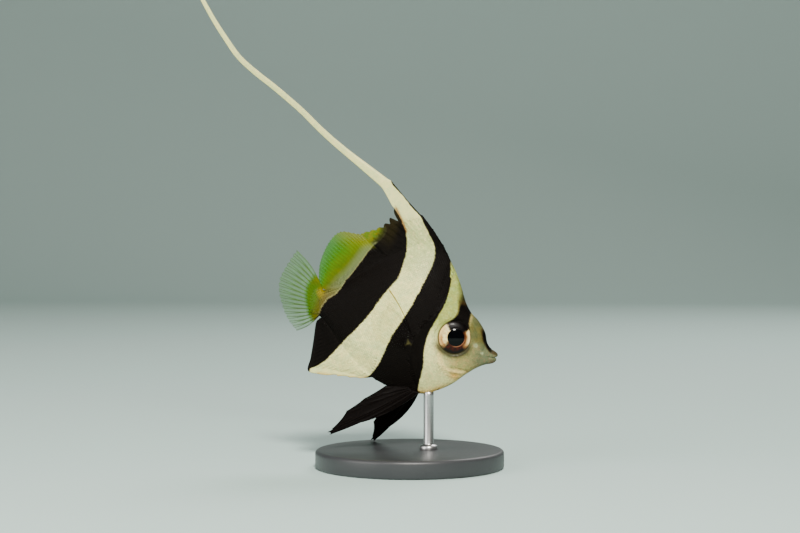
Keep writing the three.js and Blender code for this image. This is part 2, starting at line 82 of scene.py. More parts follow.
GILL_EDGE = [  # (up, behind)
    (-18, 16.2), (-12.5, 19.2), (-7.5, 22.2), (-2.5, 23.1), (2, 22), (6.5, 19.6), (12, 18.6), (22, 19.3),
]
GILL_LIFT = [(-18, 0.1), (-12, 0.28), (5, 0.28), (9, 0.1), (13, 0)]  # (up, how far the gill cover stands out)
CHEEK_RIDGE = [(16.3, 0.5), (16, -1.6), (15.1, -4), (14.1, -5.9)]
PREOPERCLE = [(14.9, -4), (14.1, -5.8), (12.5, -7.1), (10.5, -7.3), (8.5, -6.9), (7.1, -6.7)]

EYE = {"behind": 12.85, "up": 1.72, "radius": 4.72, "bulge": 1.2, "depth": 2.3, "pupil": 2.4, "lens": 0.2}
PUPIL_SHIFT = (0.3, 0.16)  # the pupil lies this far forwards and up from the eye's middle
NOSTRILS = [(6.5, 1.5, 0.34), (7.7, 2.4, 0.4)]
SNOUT_ZONE = 2  # the rounded front with the lips ends here
PECTORAL_ARM = (23.7, -3.9)  # middle of the fleshy root of the pectoral fin
# Middle line of the snout's front, from below to above: (row, behind, up). Row 0 is the mouth.
SNOUT_FRONT = [
    (-1, 2.0, -2.38), (-0.82, 1.35, -2.08), (-0.66, 0.7, -1.68), (-0.5, 0.26, -1.24), (-0.34, 0.05, -0.8),
    (-0.2, 0.02, -0.36), (-0.09, 0.2, -0.06), (0, 0.72, 0.08), (0.08, 0.3, 0.24), (0.18, 0.08, 0.48),
    (0.33, 0.04, 0.84), (0.5, 0.2, 1.18), (0.66, 0.58, 1.45), (0.82, 1.25, 1.69), (1, 2.0, 1.87),
]

FIRST_SPINE, SPINE_STEP = 21.2, 1.61
SPINE_TIPS = [
    (24.3, 24.7), (28, 27.6), (32.2, 30.5), (43.4, 36.55), (40.1, 29.5), (40.4, 26.9), (41.1, 25),
    (42.4, 23.4), (43.9, 22.1), (45.4, 21.1), (46.8, 20.1),
]
SPINE_ROOTS = [FIRST_SPINE + SPINE_STEP * i for i in range(len(SPINE_TIPS))]
# How deep the film is cut in behind each spine: (root, share of the spine's length).
NOTCH_DEEP = [(28.8, 0.21), (29.3, 0.14), (30.3, 0.1), (31.9, 0.07), (33.5, 0.05), (37.3, 0.03)]
BANNER_ROOT = (26.03, 27.25)  # the places on the back whose columns run up into the banner
STEP_BEHIND_THIRD = [(24.56, 32.55, 30.32), (25.3, 37.6, 33.05)]  # (root, behind, up)
BANNER_REAR_EDGE = [(44.9, 33.6), (43, 32), (41.3, 30.4), (40.1, 29.5)]
SOFT_TIPS = [
    (46.6, 20), (48.6, 19.5), (50.6, 19.05), (52.3, 17.6), (53.4, 14.8), (53.9, 11.3), (53.8, 8.2), (53, 5.2),
    (52, 2.2),
]
SOFT_ROOT = (38, 49.8)
SOFT_CUT = [(46.9, 20.1), (41.1, 17.4)]  # where the spiny part of the fin meets the soft part
DORSAL_BOW = 0.03  # how far the dorsal fin's columns bow backwards, as a share of their length
SHEATH_SHARE = 0.36  # how much of the soft dorsal fin the scaly skin covers
ANAL_SPINES = [(31.4, 33.8, -17.7), (32.8, 36.6, -18.5), (34.2, 40, -19.3)]
ANAL_TIPS = [
    (42.6, -20), (44.9, -20.55), (48.35, -20.75), (48.8, -17.2), (49.7, -12), (50.5, -8.2), (50.6, -6.9),
]
ANAL_ROOT = (35.4, 49)
GOLD_EDGE = [(39.7, 29.9), (38.4, 28.6), (37, 27.2), (35.8, 25.9), (34.9, 24.6)]
ANAL_LOW_EDGE = [(32, -16.6), (33.8, -17.6), (36.6, -18.4), (40, -19.2), (42.6, -19.8), (45.4, -20.4)]
TAIL_TIPS = [
    (61.5, 9.8), (62.6, 5.9), (63.3, 2.7), (63.7, -0.4), (63.3, -3.7), (61.4, -6.9), (58.9, -9.7),
    (55.5, -12),
]
PECTORAL_TIPS = [(34.9, 8.9), (36.7, 6), (37.5, 2.6), (37.2, -0.8), (35.1, -3.8), (31.7, -5.6)]
PECTORAL_ROOT = [(23.2, -2.4), (24.2, -5.5)]
PELVIC_RAYS = [  # (root, tip, bow) in the fin's own plane: the spine and its film, then the five rays
    ((0, 0.9), (11.6, -11.95), -0.05), ((0.45, 0.9), (15.5, -14.6), -0.043),
    ((0.9, 0.9), (19.9, -18.85), -0.035), ((1.7, 0.9), (20.7, -18.4), -0.024),
    ((2.05, 0.9), (19.7, -17), -0.015), ((2.4, 0.9), (17.5, -11), 0),
    ((3.1, 0.9), (14.1, -6.2), 0), ((3.8, 0.9), (9.7, -0.9), 0),
]
PELVIC_ROOT = {"behind": 16.7, "up": -16.2, "apart": 1.35}
PELVIC_POSE = {"right": (9, 0), "left": (42, 28)}  # degrees of splay and of forward swing
BANNER_LINE = [  # (behind, left, up)
    (44.3, 1.8, 35.1), (48.4, 2.4, 36.6), (59.6, 3.5, 40.6), (66.4, 3.5, 43.4), (73.4, 3, 46.8),
    (81.8, 2, 50.2), (89.85, 0.9, 53.1), (94.5, 0.3, 55.25), (99, 0, 58.5), (103.8, -0.2, 62.3),
    (108.6, -0.2, 66.6), (115.5, 0.2, 73.2), (121, 0.9, 81), (124.6, 1.8, 90),
]
BANNER_HALF = [  # (share of its length, half its width)
    (0, 1.5), (0.05, 1.28), (0.14, 0.98), (0.3, 0.83), (0.5, 0.77), (0.68, 0.62), (0.85, 0.45), (1, 0.16),
]
FIN_ROOT_HALF = 0.5  # half the thickness of an upright fin where it leaves the body
FIN_MARGIN_HALF = 0.2


# ---------------------------------------------------------------- curves and grids

def along(table, place):
    """A smooth curve through rows of (place, value...), level beyond both ends."""
    rows = np.asarray(table, float)
    xs, ys = rows[:, 0], rows[:, 1:]
    number = np.arange(len(xs))
    before, after = np.maximum(number - 1, 0), np.minimum(number + 1, len(xs) - 1)
    slope = (ys[after] - ys[before]) / (xs[after] - xs[before])[:, None]
    place = np.clip(np.asarray(place, float), xs[0], xs[-1])
    i = np.clip(np.searchsorted(xs, place, side="right") - 1, 0, len(xs) - 2)
    span = (xs[i + 1] - xs[i])[..., None]
    t = (place - xs[i])[..., None] / span
    start = (2 * t**3 - 3 * t**2 + 1) * ys[i] + (t**3 - 2 * t**2 + t) * span * slope[i]
    end = (3 * t**2 - 2 * t**3) * ys[i + 1] + (t**3 - t**2) * span * slope[i + 1]
    return (start + end)[..., 0] if ys.shape[1] == 1 else start + end


def ease(t):
    """A soft rise from 0 to 1."""
    t = np.clip(t, 0, 1)
    return t * t * (3 - 2 * t)


def mix(a, b, t):
    return a + (b - a) * t


def follow(path, share):
    """Points at shares of a path's length, on a smooth curve through its points."""
    path = np.asarray(path, float)
    length = np.concatenate([[0], np.cumsum(np.linalg.norm(np.diff(path, axis=0), axis=1))])
    return along(np.column_stack([length / length[-1], path]), share)


def distance_to(points, path):
    """How far each point of an array [..., 2] lies from a path of straight stretches."""
    best = np.full(points.shape[:-1], 1e9)
    for a, b in zip(path[:-1], path[1:]):
        a, b = np.asarray(a, float), np.asarray(b, float)
        ab = b - a
        share = np.clip(((points - a) @ ab) / max(ab @ ab, 1e-12), 0, 1)
        best = np.minimum(best, np.linalg.norm(points - a - share[..., None] * ab, axis=-1))
    return best


def on_edge(edge, behind):
    """A place on the body's upper or lower edge."""
    return behind, float(along(edge, behind))


def sheet(places, **layers):
    """A grid of faces with its corners at places [across, along, 3], and layers of values to match."""
    across, down = places.shape[:2]
    bm = bmesh.new()
    bmesh.ops.create_grid(bm, x_segments=across - 1, y_segments=down - 1, size=1)
    ordered = places.transpose(1, 0, 2).reshape(-1, 3)
    for vert, place in zip(bm.verts, ordered):
        vert.co = place
    for name, values in layers.items():
        layer = bm.verts.layers.float_vector.new(name)
        for vert, value in zip(bm.verts, values.transpose(1, 0, 2).reshape(-1, 3)):
            vert[layer] = value
    bm.normal_update()
    return bm


def close_up(bm, distance=0.002):
    """Merges what meets and turns every face outwards."""
    bmesh.ops.remove_doubles(bm, verts=bm.verts, dist=distance)
    bmesh.ops.dissolve_degenerate(bm, edges=bm.edges, dist=distance)
    bmesh.ops.recalc_face_normals(bm, faces=bm.faces)


def mirrored(bm):
    """Adds the other half across the fish's middle plane."""
    everything = bm.verts[:] + bm.edges[:] + bm.faces[:]
    bmesh.ops.mirror(bm, geom=everything, matrix=Matrix.Identity(4), merge_dist=1e-4, axis="Y")


def lathe(profile, steps=64):
    """A closed body turned about Z from a profile of (radius, height)."""
    bm = bmesh.new()
    verts = [bm.verts.new((radius, 0, height)) for radius, height in profile]
    edges = [bm.edges.new(pair) for pair in zip(verts[:-1], verts[1:])]
    bmesh.ops.spin(
        bm, geom=verts + edges, cent=(0, 0, 0), axis=(0, 0, 1), dvec=(0, 0, 0),
        angle=math.tau, steps=steps, use_merge=True, use_normal_flip=False, use_duplicate=False,
    )
    close_up(bm)
    return bm


snout_tip = Vector((
    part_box("head")[1].x / MM - LIP_PROUD, 0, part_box("stand_base")[1].z / MM + SNOUT_ABOVE_BASE,
))


def bend_at(behind):
    """How far the body is bent to the left."""
    return BEND_RATE * np.maximum(0, behind - BEND_FROM) ** 2


def set_back(behind, up):
    """How far the upper part of the tail's root is moved back."""
    return TAIL_BACK * ease((behind - 47) / 4) * ease((up + 6) / 8)


def tail_fold(behind, up):
    """How far the tail fin's lower lobe is swept to the left."""
    below = np.maximum(0, -1.8 - up) / 9.5
    return TAIL_SWEEP * below ** 1.6 * ease((behind - BODY_LENGTH) / 3)


def posed(points):
    """Straight fish millimetres [..., 3] to the world's metres."""
    x, y, z = np.moveaxis(np.asarray(points, float), -1, 0)
    y = y + bend_at(-x) + tail_fold(-x, z)
    x = x - set_back(-x, z) * (z < BANNER_ABOVE)
    level, tipped = math.cos(NOSE_DOWN), math.sin(NOSE_DOWN)
    turned = [level * x + tipped * z, y, level * z - tipped * x]
    return (np.stack(turned, axis=-1) + snout_tip) * MM


def pose(bm):
    for vert, place in zip(bm.verts, posed([vert.co[:] for vert in bm.verts])):
        vert.co = place


def put_in_scene(name, data):
    thing = bpy.data.objects.new(name, data)
    bpy.context.scene.collection.objects.link(thing)
    return thing


def smooth_mesh(name, bm):
    """A mesh made from a bmesh, which is used up."""
    mesh = bpy.data.meshes.new(name)
    for face in bm.faces:
        face.smooth = True
    bm.to_mesh(mesh)
    bm.free()
    return mesh


def adopt(name, mesh, material, replaces=()):
    """Makes a mesh a piece of the fish or its stand, in place of CAD nodes or as trim."""
    thing = put_in_scene(name, mesh)
    mesh.materials.append(material)
    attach(thing, "root")
    if replaces:
        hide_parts(*replaces)


def piece(name, bm, material, replaces=()):
    adopt(name, smooth_mesh(name, bm), material, replaces)


# ---------------------------------------------------------------- the skin's form

def eye_reach(behind, up):
    return np.hypot(behind - EYE["behind"], up - EYE["up"])


def bump(distance, width):
    """1 at no distance, falling off softly over a width."""
    return np.exp(-((distance / width) ** 2))


def dorsal_margin():
    """The upper margin as rows of (root place on the back, behind, up), from the nape to the tail."""
    lead = [(root, *tip) for root, tip in zip(SPINE_ROOTS[:3], SPINE_TIPS)]
    rows = [(20.3, *on_edge(BACK, 20.3))]
    rows += [(root, *along(lead, root)) for root in np.linspace(SPINE_ROOTS[0], SPINE_ROOTS[2], 24)]
    rows += [*STEP_BEHIND_THIRD, (BANNER_ROOT[0], *SPINE_TIPS[3])]
    behind_banner = 27.9
    rear_roots = np.linspace(BANNER_ROOT[1], behind_banner, len(BANNER_REAR_EDGE))
    rows += [(root, *place) for root, place in zip(rear_roots, BANNER_REAR_EDGE)]
    free = list(zip([behind_banner] + SPINE_ROOTS[5:], SPINE_TIPS[4:]))
    deepest = 0.65  # the film between two spines is lowest at this share of the way back
    for (root, tip), (next_root, next_tip) in zip(free[:-1], free[1:]):
        for share in (0.1, 0.2, 0.3, 0.4, 0.5, 0.58, 0.65, 0.74, 0.82, 0.9, 0.96, 1):
            here = mix(root, next_root, share)
            base, top = np.array(on_edge(BACK, here)), mix(np.array(tip), np.array(next_tip), share)
            bite = (share / deepest) ** 2.5
            if share >= deepest:
                bite = 1 - ((share - deepest) / (1 - deepest)) ** 1.5
            rows.append((here, *(base + (top - base) * (1 - bite * float(along(NOTCH_DEEP, here))))))
    for root in np.linspace(*SOFT_ROOT, 30):
        share = (root - SOFT_ROOT[0]) / (SOFT_ROOT[1] - SOFT_ROOT[0])
        base, tip = np.array(on_edge(BACK, root)), follow(SOFT_TIPS, share)
        rows.append((root, *mix(base, tip, SHEATH_SHARE * ease((1.02 - share) * 6))))
    return rows


def anal_margin():
    """The lower margin as rows of (root place on the belly, behind, up)."""
    rows = [(30.7, *on_edge(BELLY, 30.7))]
    spines = [*ANAL_SPINES, (ANAL_ROOT[0], *ANAL_TIPS[0])]
    for (root, *tip), (next_root, *next_tip) in zip(spines[:-1], spines[1:]):
        for share in (0, 0.2, 0.4, 0.6, 0.8):
            here = mix(root, next_root, share)
            base, end = np.array(on_edge(BELLY, here)), mix(np.array(tip), np.array(next_tip), share)
            rows.append((here, *mix(base, end, 1 - 0.12 * math.sin(math.pi * share))))
    for root in np.linspace(*ANAL_ROOT, 40):
        share = (root - ANAL_ROOT[0]) / (ANAL_ROOT[1] - ANAL_ROOT[0])
        rows.append((root, *follow(ANAL_TIPS, share)))
    rows.append((49.6, *on_edge(BELLY, 49.6)))
    return rows


DORSAL_MARGIN, ANAL_MARGIN = dorsal_margin(), anal_margin()


def margin_at(rows, root, edge):
    """Margin points for places on the body's edge. Beyond the fin the margin is the edge itself."""
    table = np.array(rows)
    inside = (root > table[0, 0]) & (root < table[-1, 0])
    fin = np.column_stack([np.interp(root, table[:, 0], table[:, k]) for k in (1, 2)])
    return np.where(inside[:, None], fin, np.column_stack([root, edge]))


def finned(rows, root, edge_table):
    """0 where the body's edge is bare, 1 where a fin stands on it."""
    edge = along(edge_table, root)
    flat = np.ravel(root)
    margin = margin_at(rows, flat, np.ravel(edge))
    length = np.hypot(margin[:, 0] - flat, margin[:, 1] - np.ravel(edge))
    return ease(length / 1.2).reshape(np.shape(root))


def body_half(behind, up, relief=True):
    """Half width of the skin at places on the body's side, with or without the face's relief."""
    level, back, belly = along(WIDEST_LEVEL, behind), along(BACK, behind), along(BELLY, behind)
    above = up > level
    reach = np.where(above, back - level, level - belly)
    t = np.clip(np.abs(up - level) / reach, 0, 1)
    edge = along(EDGE_HALF, behind)
    stands = np.where(above, finned(DORSAL_MARGIN, behind, BACK), finned(ANAL_MARGIN, behind, BELLY))
    lens = (1 - t * t) ** (along(SECTION_POWER, behind) * (1 + 0.7 * stands * ease(t * 2 - 1)))
    bare_edge = edge * np.sqrt(1 - t ** (2 * reach / edge))
    fin_edge = mix(edge, FIN_ROOT_HALF, ease((t - 0.8) * 5))
    half = mix(bare_edge, fin_edge, stands) + (along(HALF_WIDTH, behind) - edge) * lens
    return half + face_relief(behind, up) * np.minimum(1, lens * 3) * relief


def side_half(behind, up):
    """Half width of the smooth side at one place."""
    return float(body_half(np.array(behind), np.array(up), relief=False))


def face_relief(behind, up):
    """What the gill cover, cheek bones, eye socket and nostrils add to or take from the smooth side."""
    gill = behind - along(GILL_EDGE, up)
    relief = along(GILL_LIFT, up) * ease(1 + gill / 3) * (1 - ease(gill / 0.22))
    relief = relief + 0.05 * ease(1 + gill / 0.5) * (1 - ease((gill - 0.5) / 0.3)) * (up < 8)
    place = np.stack([behind, up], axis=-1)
    cheek = distance_to(place, PREOPERCLE)
    relief = relief + 0.11 * bump(cheek, 0.4) - 0.08 * bump(cheek - 0.85, 0.35)
    reach = eye_reach(behind, up)
    relief = relief - 1.5 * (1 - ease((reach - EYE["radius"] + 0.55) / 0.5)) + 0.1 * bump(reach - 5.5, 0.7)
    below_eye = distance_to(place, [(8.3, -2.1), (10.8, -3.5), (13.5, -3.7)])
    relief = relief - 0.09 * bump(below_eye, 0.5)
    for nostril_behind, nostril_up, radius in NOSTRILS:
        away = np.hypot(behind - nostril_behind, up - nostril_up)
        relief = relief - 0.3 * bump(away, radius * 0.8) + 0.07 * bump(away - radius * 1.5, radius * 0.6)
    arm = np.hypot(behind - PECTORAL_ARM[0], (up - PECTORAL_ARM[1]) / 1.25)
    return relief + 0.3 * bump(arm, 1.3)


def marks_at(behind, up):
    """Soft marks as three shares: the cheek's pale ridge, painted shade under the eye with a dark line along
    the spiny fin's margin, and orange along the edges.
    """
    place = np.stack([behind, up], axis=-1)
    ridge = bump(distance_to(place, PREOPERCLE), 0.55) + bump(distance_to(place, CHEEK_RIDGE), 0.7)
    turn = np.degrees(np.arctan2(up - EYE["up"], EYE["behind"] - behind))
    below_eye = ease((turn + 165) / 40) * ease((20 - turn) / 50)
    reach = eye_reach(behind, up)
    # Painted shade under the eye; a dark line along the spiny fin's margin is added to it below.
    painted_eye_shade_and_fin_line = (bump(reach - 4.75, 0.7) + 0.35 * bump(reach - 5.3, 1.2)) * below_eye
    spiny = [row[1:] for row in DORSAL_MARGIN if 28.6 < row[0] < 37.4]
    painted_eye_shade_and_fin_line = painted_eye_shade_and_fin_line + bump(distance_to(place, spiny), 0.26) * (behind > 38)
    throat = np.abs(up - along(BELLY, behind))
    warm = bump(throat, 1.3) * ease((behind - 9) / 4) * ease((32 - behind) / 8) * 0.8
    warm = warm + 0.8 * bump(np.hypot(behind - 9.4, (up + 8.2) * 1.3), 1.5)
    warm = warm + 0.6 * bump(distance_to(place, ANAL_LOW_EDGE), 0.4)
    warm = warm + bump(distance_to(place, GOLD_EDGE), 0.4)
    return np.clip(np.stack([ridge, painted_eye_shade_and_fin_line, warm], axis=-1), 0, 1)


def body_rows(count):
    """Row places from -1 at the belly to 1 at the back, closer together at both edges."""
    even = np.linspace(-1, 1, count)
    return mix(even, np.sin(even * math.pi / 2), 0.72)


def fin_half(points, share, rays, margin, ridge, width):
    """Half thickness of an upright fin: thinner outwards, a ridge on each ray and a round margin."""
    web = mix(FIN_ROOT_HALF, FIN_MARGIN_HALF, ease(share * 1.3))
    nearest = np.full(points.shape[:-1], 1e9)
    for ray in rays:
        nearest = np.minimum(nearest, distance_to(points, ray))
    web = web + ridge * bump(nearest, width) * ease(share * 8) * (0.45 + 0.55 * ease(share * 2.5 - 0.9))
    to_margin = np.clip(distance_to(points, margin) / 0.3, 0, 1)
    return web * np.sqrt(1 - (1 - to_margin) ** 2)


def upright_fin(columns, body, rays, upper, count, ridge, width):
    """Half of the dorsal (upper) or the anal fin: a grid that grows out of the body's edge."""
    margin_rows, edge_table, edge_row = (DORSAL_MARGIN, BACK, -1) if upper else (ANAL_MARGIN, BELLY, 0)
    margin = margin_at(margin_rows, columns, along(edge_table, columns))
    share = 1 - (1 - np.linspace(0, 1, count)) ** 1.5
    root = body[:, edge_row][:, [0, 2]] * (-1, 1)
    reach = margin - root
    points = root[:, None] + reach[:, None] * share[None, :, None]
    stretches = [margin[columns > 30]]
    if upper:
        lift = DORSAL_BOW * 4 * share * (1 - share)
        points = points + np.stack([-reach[:, 1], reach[:, 0]], axis=-1)[:, None] * lift[None, :, None]
        before_banner = (columns <= BANNER_ROOT[0]) & (columns > 19)
        stretches = [margin[before_banner], margin[columns >= BANNER_ROOT[1]]]
    half = np.full(points.shape[:-1], 1e9)
    for stretch in stretches:
        half = np.minimum(half, fin_half(points, share[None], rays, stretch, ridge, width))
    if upper:
        over_film = ease((columns - SOFT_ROOT[0] + 0.3) / 1.2)[:, None] * ease(share * 1.3)
        at_cut = bump(distance_to(points, SOFT_CUT), 1.1)
        half *= (1 - 0.35 * over_film) * (1 - 0.4 * at_cut * (1 - over_film))
    half *= finned(margin_rows, columns, edge_table)[:, None]
    half[:, 0] = -body[:, edge_row, 1]
    return np.stack([-points[..., 0], -half, points[..., 1]], axis=-1)


def skin_half():
    """The right half of the skin, still open along the middle, with the fish's own places in a layer."""
    snout_turns = np.linspace(0, 1, 12)[:-1]
    columns = np.concatenate([
        np.arange(SNOUT_ZONE, 20.2, 0.15), np.arange(20.2, 28.8, 0.1), np.arange(28.8, 38.2, 0.115),
        np.arange(38.2, BODY_LENGTH, 0.17), np.linspace(BODY_LENGTH, BODY_LENGTH + TAIL_COVER, 20),
    ])
    columns = np.unique(np.append(columns, BANNER_ROOT))
    rows = body_rows(64)
    back, belly = along(BACK, columns), along(BELLY, columns)
    up = (back + belly)[:, None] / 2 + (back - belly)[:, None] / 2 * rows
    behind = np.repeat(columns[:, None], len(rows), axis=1)
    half = body_half(behind, up)
    # The mouth's corner and the groove that sets the lips off.
    corner = bump(rows + 0.02, 0.055)[None] * ease((3 - behind) / 0.7)
    half = half * (1 - 0.2 * corner) - 0.1 * bump(behind - 2.2, 0.35) * ease(1.4 - np.abs(rows))[None]
    # The skin runs out over the tail fin's root in a rounded edge.
    over_tail = np.clip((behind - BODY_LENGTH) / TAIL_COVER, 0, 1)
    behind = behind + 0.8 * over_tail**2 * (1 - rows**2)
    half = half * np.sqrt(np.clip(1 - over_tail**8, 0, 1))
    half[:, 0] *= finned(ANAL_MARGIN, columns, BELLY) > 0
    half[:, -1] *= finned(DORSAL_MARGIN, columns, BACK) > 0
    body = np.stack([-behind, -half, up], axis=-1)

    # The front of the snout opens from its middle line to the first column in quarter circles.
    front = along(SNOUT_FRONT, rows)
    front[[0, -1]] = body[0][[0, -1]][:, [0, 2]] * (-1, 1)
    turn = snout_turns[:, None, None] * math.pi / 2
    middle = np.stack([-front[:, 0], np.zeros(len(rows)), front[:, 1]], axis=-1)[None]
    open_by = np.stack([1 - np.cos(turn), np.sin(turn), 1 - np.cos(turn)], axis=-1)[:, :, 0]
    snout = middle + (body[:1] - middle) * open_by
    body = np.concatenate([snout, body])
    columns = np.concatenate([np.full(len(snout_turns), SNOUT_ZONE), columns])

    anal_spines = [(root, tip) for root, *tip in ANAL_SPINES]
    anal_rays = fin_rays(BELLY, anal_spines, ANAL_ROOT, ANAL_TIPS, 18)
    dorsal_rays = fin_rays(BACK, zip(SPINE_ROOTS, SPINE_TIPS), SOFT_ROOT, SOFT_TIPS, 24)
    anal = upright_fin(columns, body, anal_rays, upper=False, count=15, ridge=0.03, width=0.2)
    dorsal = upright_fin(columns, body, dorsal_rays, upper=True, count=26, ridge=0.07, width=0.28)
    places = np.concatenate([anal[:, :0:-1], body, dorsal[:, 1:]], axis=1)
    kink = (columns >= BANNER_ROOT[0]) & (columns <= BANNER_ROOT[1])
    place_layer = places * (-1, 1, 1)
    spread = np.zeros_like(places)
    spread[kink, -1, 0] = np.linspace(-1, 1, kink.sum())
    spread[kink, -1, 1] = 1
    places[~kink, -1, 1] = 0
    marks = marks_at(place_layer[..., 0], place_layer[..., 2])
    return sheet(places, fish_place=place_layer, banner_place=spread, fish_marks=marks)


def fin_rays(edge, spines, root, tips, count):
    """A fin's spines and soft rays, each as a line from the body's edge to its tip."""
    rays = [[on_edge(edge, spine_root), tip] for spine_root, tip in spines]
    for share in np.linspace(0, 1, count):
        rays.append([on_edge(edge, mix(*root, share)), follow(tips, share)])
    return rays


def banner_ring(share, across, side):
    """A point of the banner's surface: across runs from -1 at its front edge to 1 at its rear one."""
    line = np.array(BANNER_LINE)
    centre = follow(line, share)
    forward = follow(line, min(1, share + 0.01)) - follow(line, max(0, share - 0.01))
    forward = np.array([-forward[0], forward[1], forward[2]])
    forward /= np.linalg.norm(forward)
    rear = np.cross(forward, (0, 1, 0))
    rear /= np.linalg.norm(rear)
    wide = float(along(BANNER_HALF, share))
    thick = min(wide, mix(0.42, 0.26, share))
    # The leading edge is the drawn-out spine, rounder than the thin film behind it.
    film = mix(1, 0.45, ease(across * 0.5 + 0.5)) if share > 0.02 else 1
    out = side * thick * film * math.sqrt(max(0, 1 - across**2))
    point = np.array([-centre[0], centre[1], centre[2]]) + rear * wide * across
    point[1] += out - bend_at(-point[0])
    return point


def draw_out_banner(bm, rings=120):
    """Extrudes the open end of the fourth spine along the banner's line, to its tip."""
    spread = bm.verts.layers.float_vector["banner_place"]
    place = bm.verts.layers.float_vector["fish_place"]
    edges = [edge for edge in bm.edges if edge.is_boundary and all(vert[spread][1] for vert in edge.verts)]
    for vert in {vert for edge in edges for vert in edge.verts}:
        vert[spread] = (vert[spread][0], 0, (vert.co.y > 1e-4) - (vert.co.y < -1e-4))
    for k in range(1, rings + 1):
        made = bmesh.ops.extrude_edge_only(bm, edges=edges)["geom"]
        ring = {item for item in made if isinstance(item, bmesh.types.BMVert)}
        drawn = [item for item in made if isinstance(item, bmesh.types.BMEdge)]
        edges = [edge for edge in drawn if ring.issuperset(edge.verts)]
        for vert in ring:
            vert.co = banner_ring(k / rings, vert[spread][0], vert[spread][2])
            vert[place] = (-vert.co.x, 0, vert.co.z)
    tip = sum((vert.co for vert in ring), Vector()) / len(ring)
    bmesh.ops.pointmerge(bm, verts=list(ring), merge_co=tip)


# ---------------------------------------------------------------- pieces

def make_skin(material):
    """The skin of the fish in one piece. Returns its right half as a surface that scales are set on."""
    bm = skin_half()
    surface = BVHTree.FromBMesh(bm)
    mirrored(bm)
    close_up(bm)
    draw_out_banner(bm)
    close_up(bm)
    pose(bm)
    nodes = ["head", "trunk", "tail_stalk", "dorsal_fin_spines", "anal_fin"]
    nodes += ["banner_lower", "banner_middle", "banner_tip"]
    piece("fish_skin", bm, material, replaces=nodes)
    return surface


def eye_axes():
    """The right eye's centre, forward, upward and outward directions in the straight fish."""
    behind, up, radius = EYE["behind"], EYE["up"], EYE["radius"]
    front, rear = side_half(behind - radius, up), side_half(behind + radius, up)
    top, bottom = side_half(behind, up + radius), side_half(behind, up - radius)
    across, lean = 2 * radius, 0.7  # the eye leans this share as much as the head's side
    outward = Vector((lean * (rear - front) / across, -1, lean * (bottom - top) / across)).normalized()
    seat = mix(min(front, rear, top, bottom), side_half(behind, up), 0.35) - 0.15
    forward = (Vector((1, 0, 0)) - outward * outward.x).normalized()
    return Vector((-behind, -seat, up)), forward, outward.cross(forward), outward


def eye_dome(radius):
    """Height of the eye's front above its seat."""
    return EYE["bulge"] * np.sqrt(np.clip(1 - (radius / EYE["radius"]) ** 2, 0, 1))


def put_on_side(bm, side):
    """Takes a piece made for the right side to its own side, and poses it."""
    for vert in bm.verts:
        vert.co.y *= -SIDES[side]
    bmesh.ops.recalc_face_normals(bm, faces=bm.faces)
    pose(bm)


def make_eye(side, material):
    """An eyeball with a shallow front and a raised pupil. Its layer holds (forward, up, outward)."""
    radius, depth, pupil, lens = EYE["radius"], EYE["depth"], EYE["pupil"], EYE["lens"]
    profile = [(radius * math.sin(a), -depth * math.cos(a)) for a in np.linspace(0, math.pi / 2, 12)]
    for r in np.linspace(radius, pupil, 20)[1:]:
        groove = 0.05 * float(bump(r - pupil - 0.12, 0.14))
        profile.append((r, float(eye_dome(r)) - groove))
    for share in np.linspace(1, 0, 14)[1:]:
        profile.append((pupil * share, float(eye_dome(pupil * share)) + lens * (1 - share**2)))
    bm = lathe(profile, 96)
    layer = bm.verts.layers.float_vector.new("eye_place")
    centre, forward, upward, outward = eye_axes()
    for vert in bm.verts:
        x, y, z = vert.co
        if z > 0:
            shifted = float(ease((radius - 0.2 - math.hypot(x, y)) / 1.7))
            x, y = x + PUPIL_SHIFT[0] * shifted, y + PUPIL_SHIFT[1] * shifted
        vert[layer] = (x, y, z)
        vert.co = centre + forward * x + upward * y + outward * z
    put_on_side(bm, side)
    piece(f"eyeball_{side}", bm, material, replaces=[f"eye_{side}"])


def make_orbit(side, material):
    """The rim of skin round an eye: a closed ring from the eye's edge out on to the head."""
    centre, forward, upward, outward = map(np.array, eye_axes())
    inner, outer, proud, sunk = 4.5, 5.3, 0.08, 0.35
    turns = np.linspace(0, math.tau, 97)
    across = np.array([0, 0, 0.12, 0.28, 0.45, 0.65, 0.85, 1, 1, 0.5, 0])
    lift = np.array([
        -sunk, -0.02, 0.5 * proud, proud, 0.8 * proud, 0.4 * proud, 0.1 * proud, -0.03, -sunk, -sunk, -sunk,
    ])
    reach = mix(inner, outer, across)
    ray = forward * np.cos(turns)[:, None] + upward * np.sin(turns)[:, None]
    flat = centre + ray[:, None] * reach[None, :, None]
    on_eye = flat + outward * eye_dome(reach)[None, :, None]
    on_skin = flat.copy()
    on_skin[..., 1] = -body_half(-flat[..., 0], flat[..., 2], relief=False)
    places = mix(on_eye, on_skin, ease(across * 1.4)[None, :, None]) + outward * lift[None, :, None]
    marks = marks_at(-flat[..., 0], flat[..., 2])
    # A thin dark ring at the eye's edge, with painted shade making it darker and wider below the eye.
    under = ease(0.5 - 0.9 * np.sin(turns + 0.35))[:, None]
    marks[..., 1] = np.maximum(marks[..., 1], (0.45 + 0.55 * under) * bump(reach - inner, 0.3 + 0.25 * under))
    bm = sheet(places, fish_place=flat * (-1, 1, 1), fish_marks=marks)
    close_up(bm)
    put_on_side(bm, side)
    piece(f"orbit_rim_{side}", bm, material)


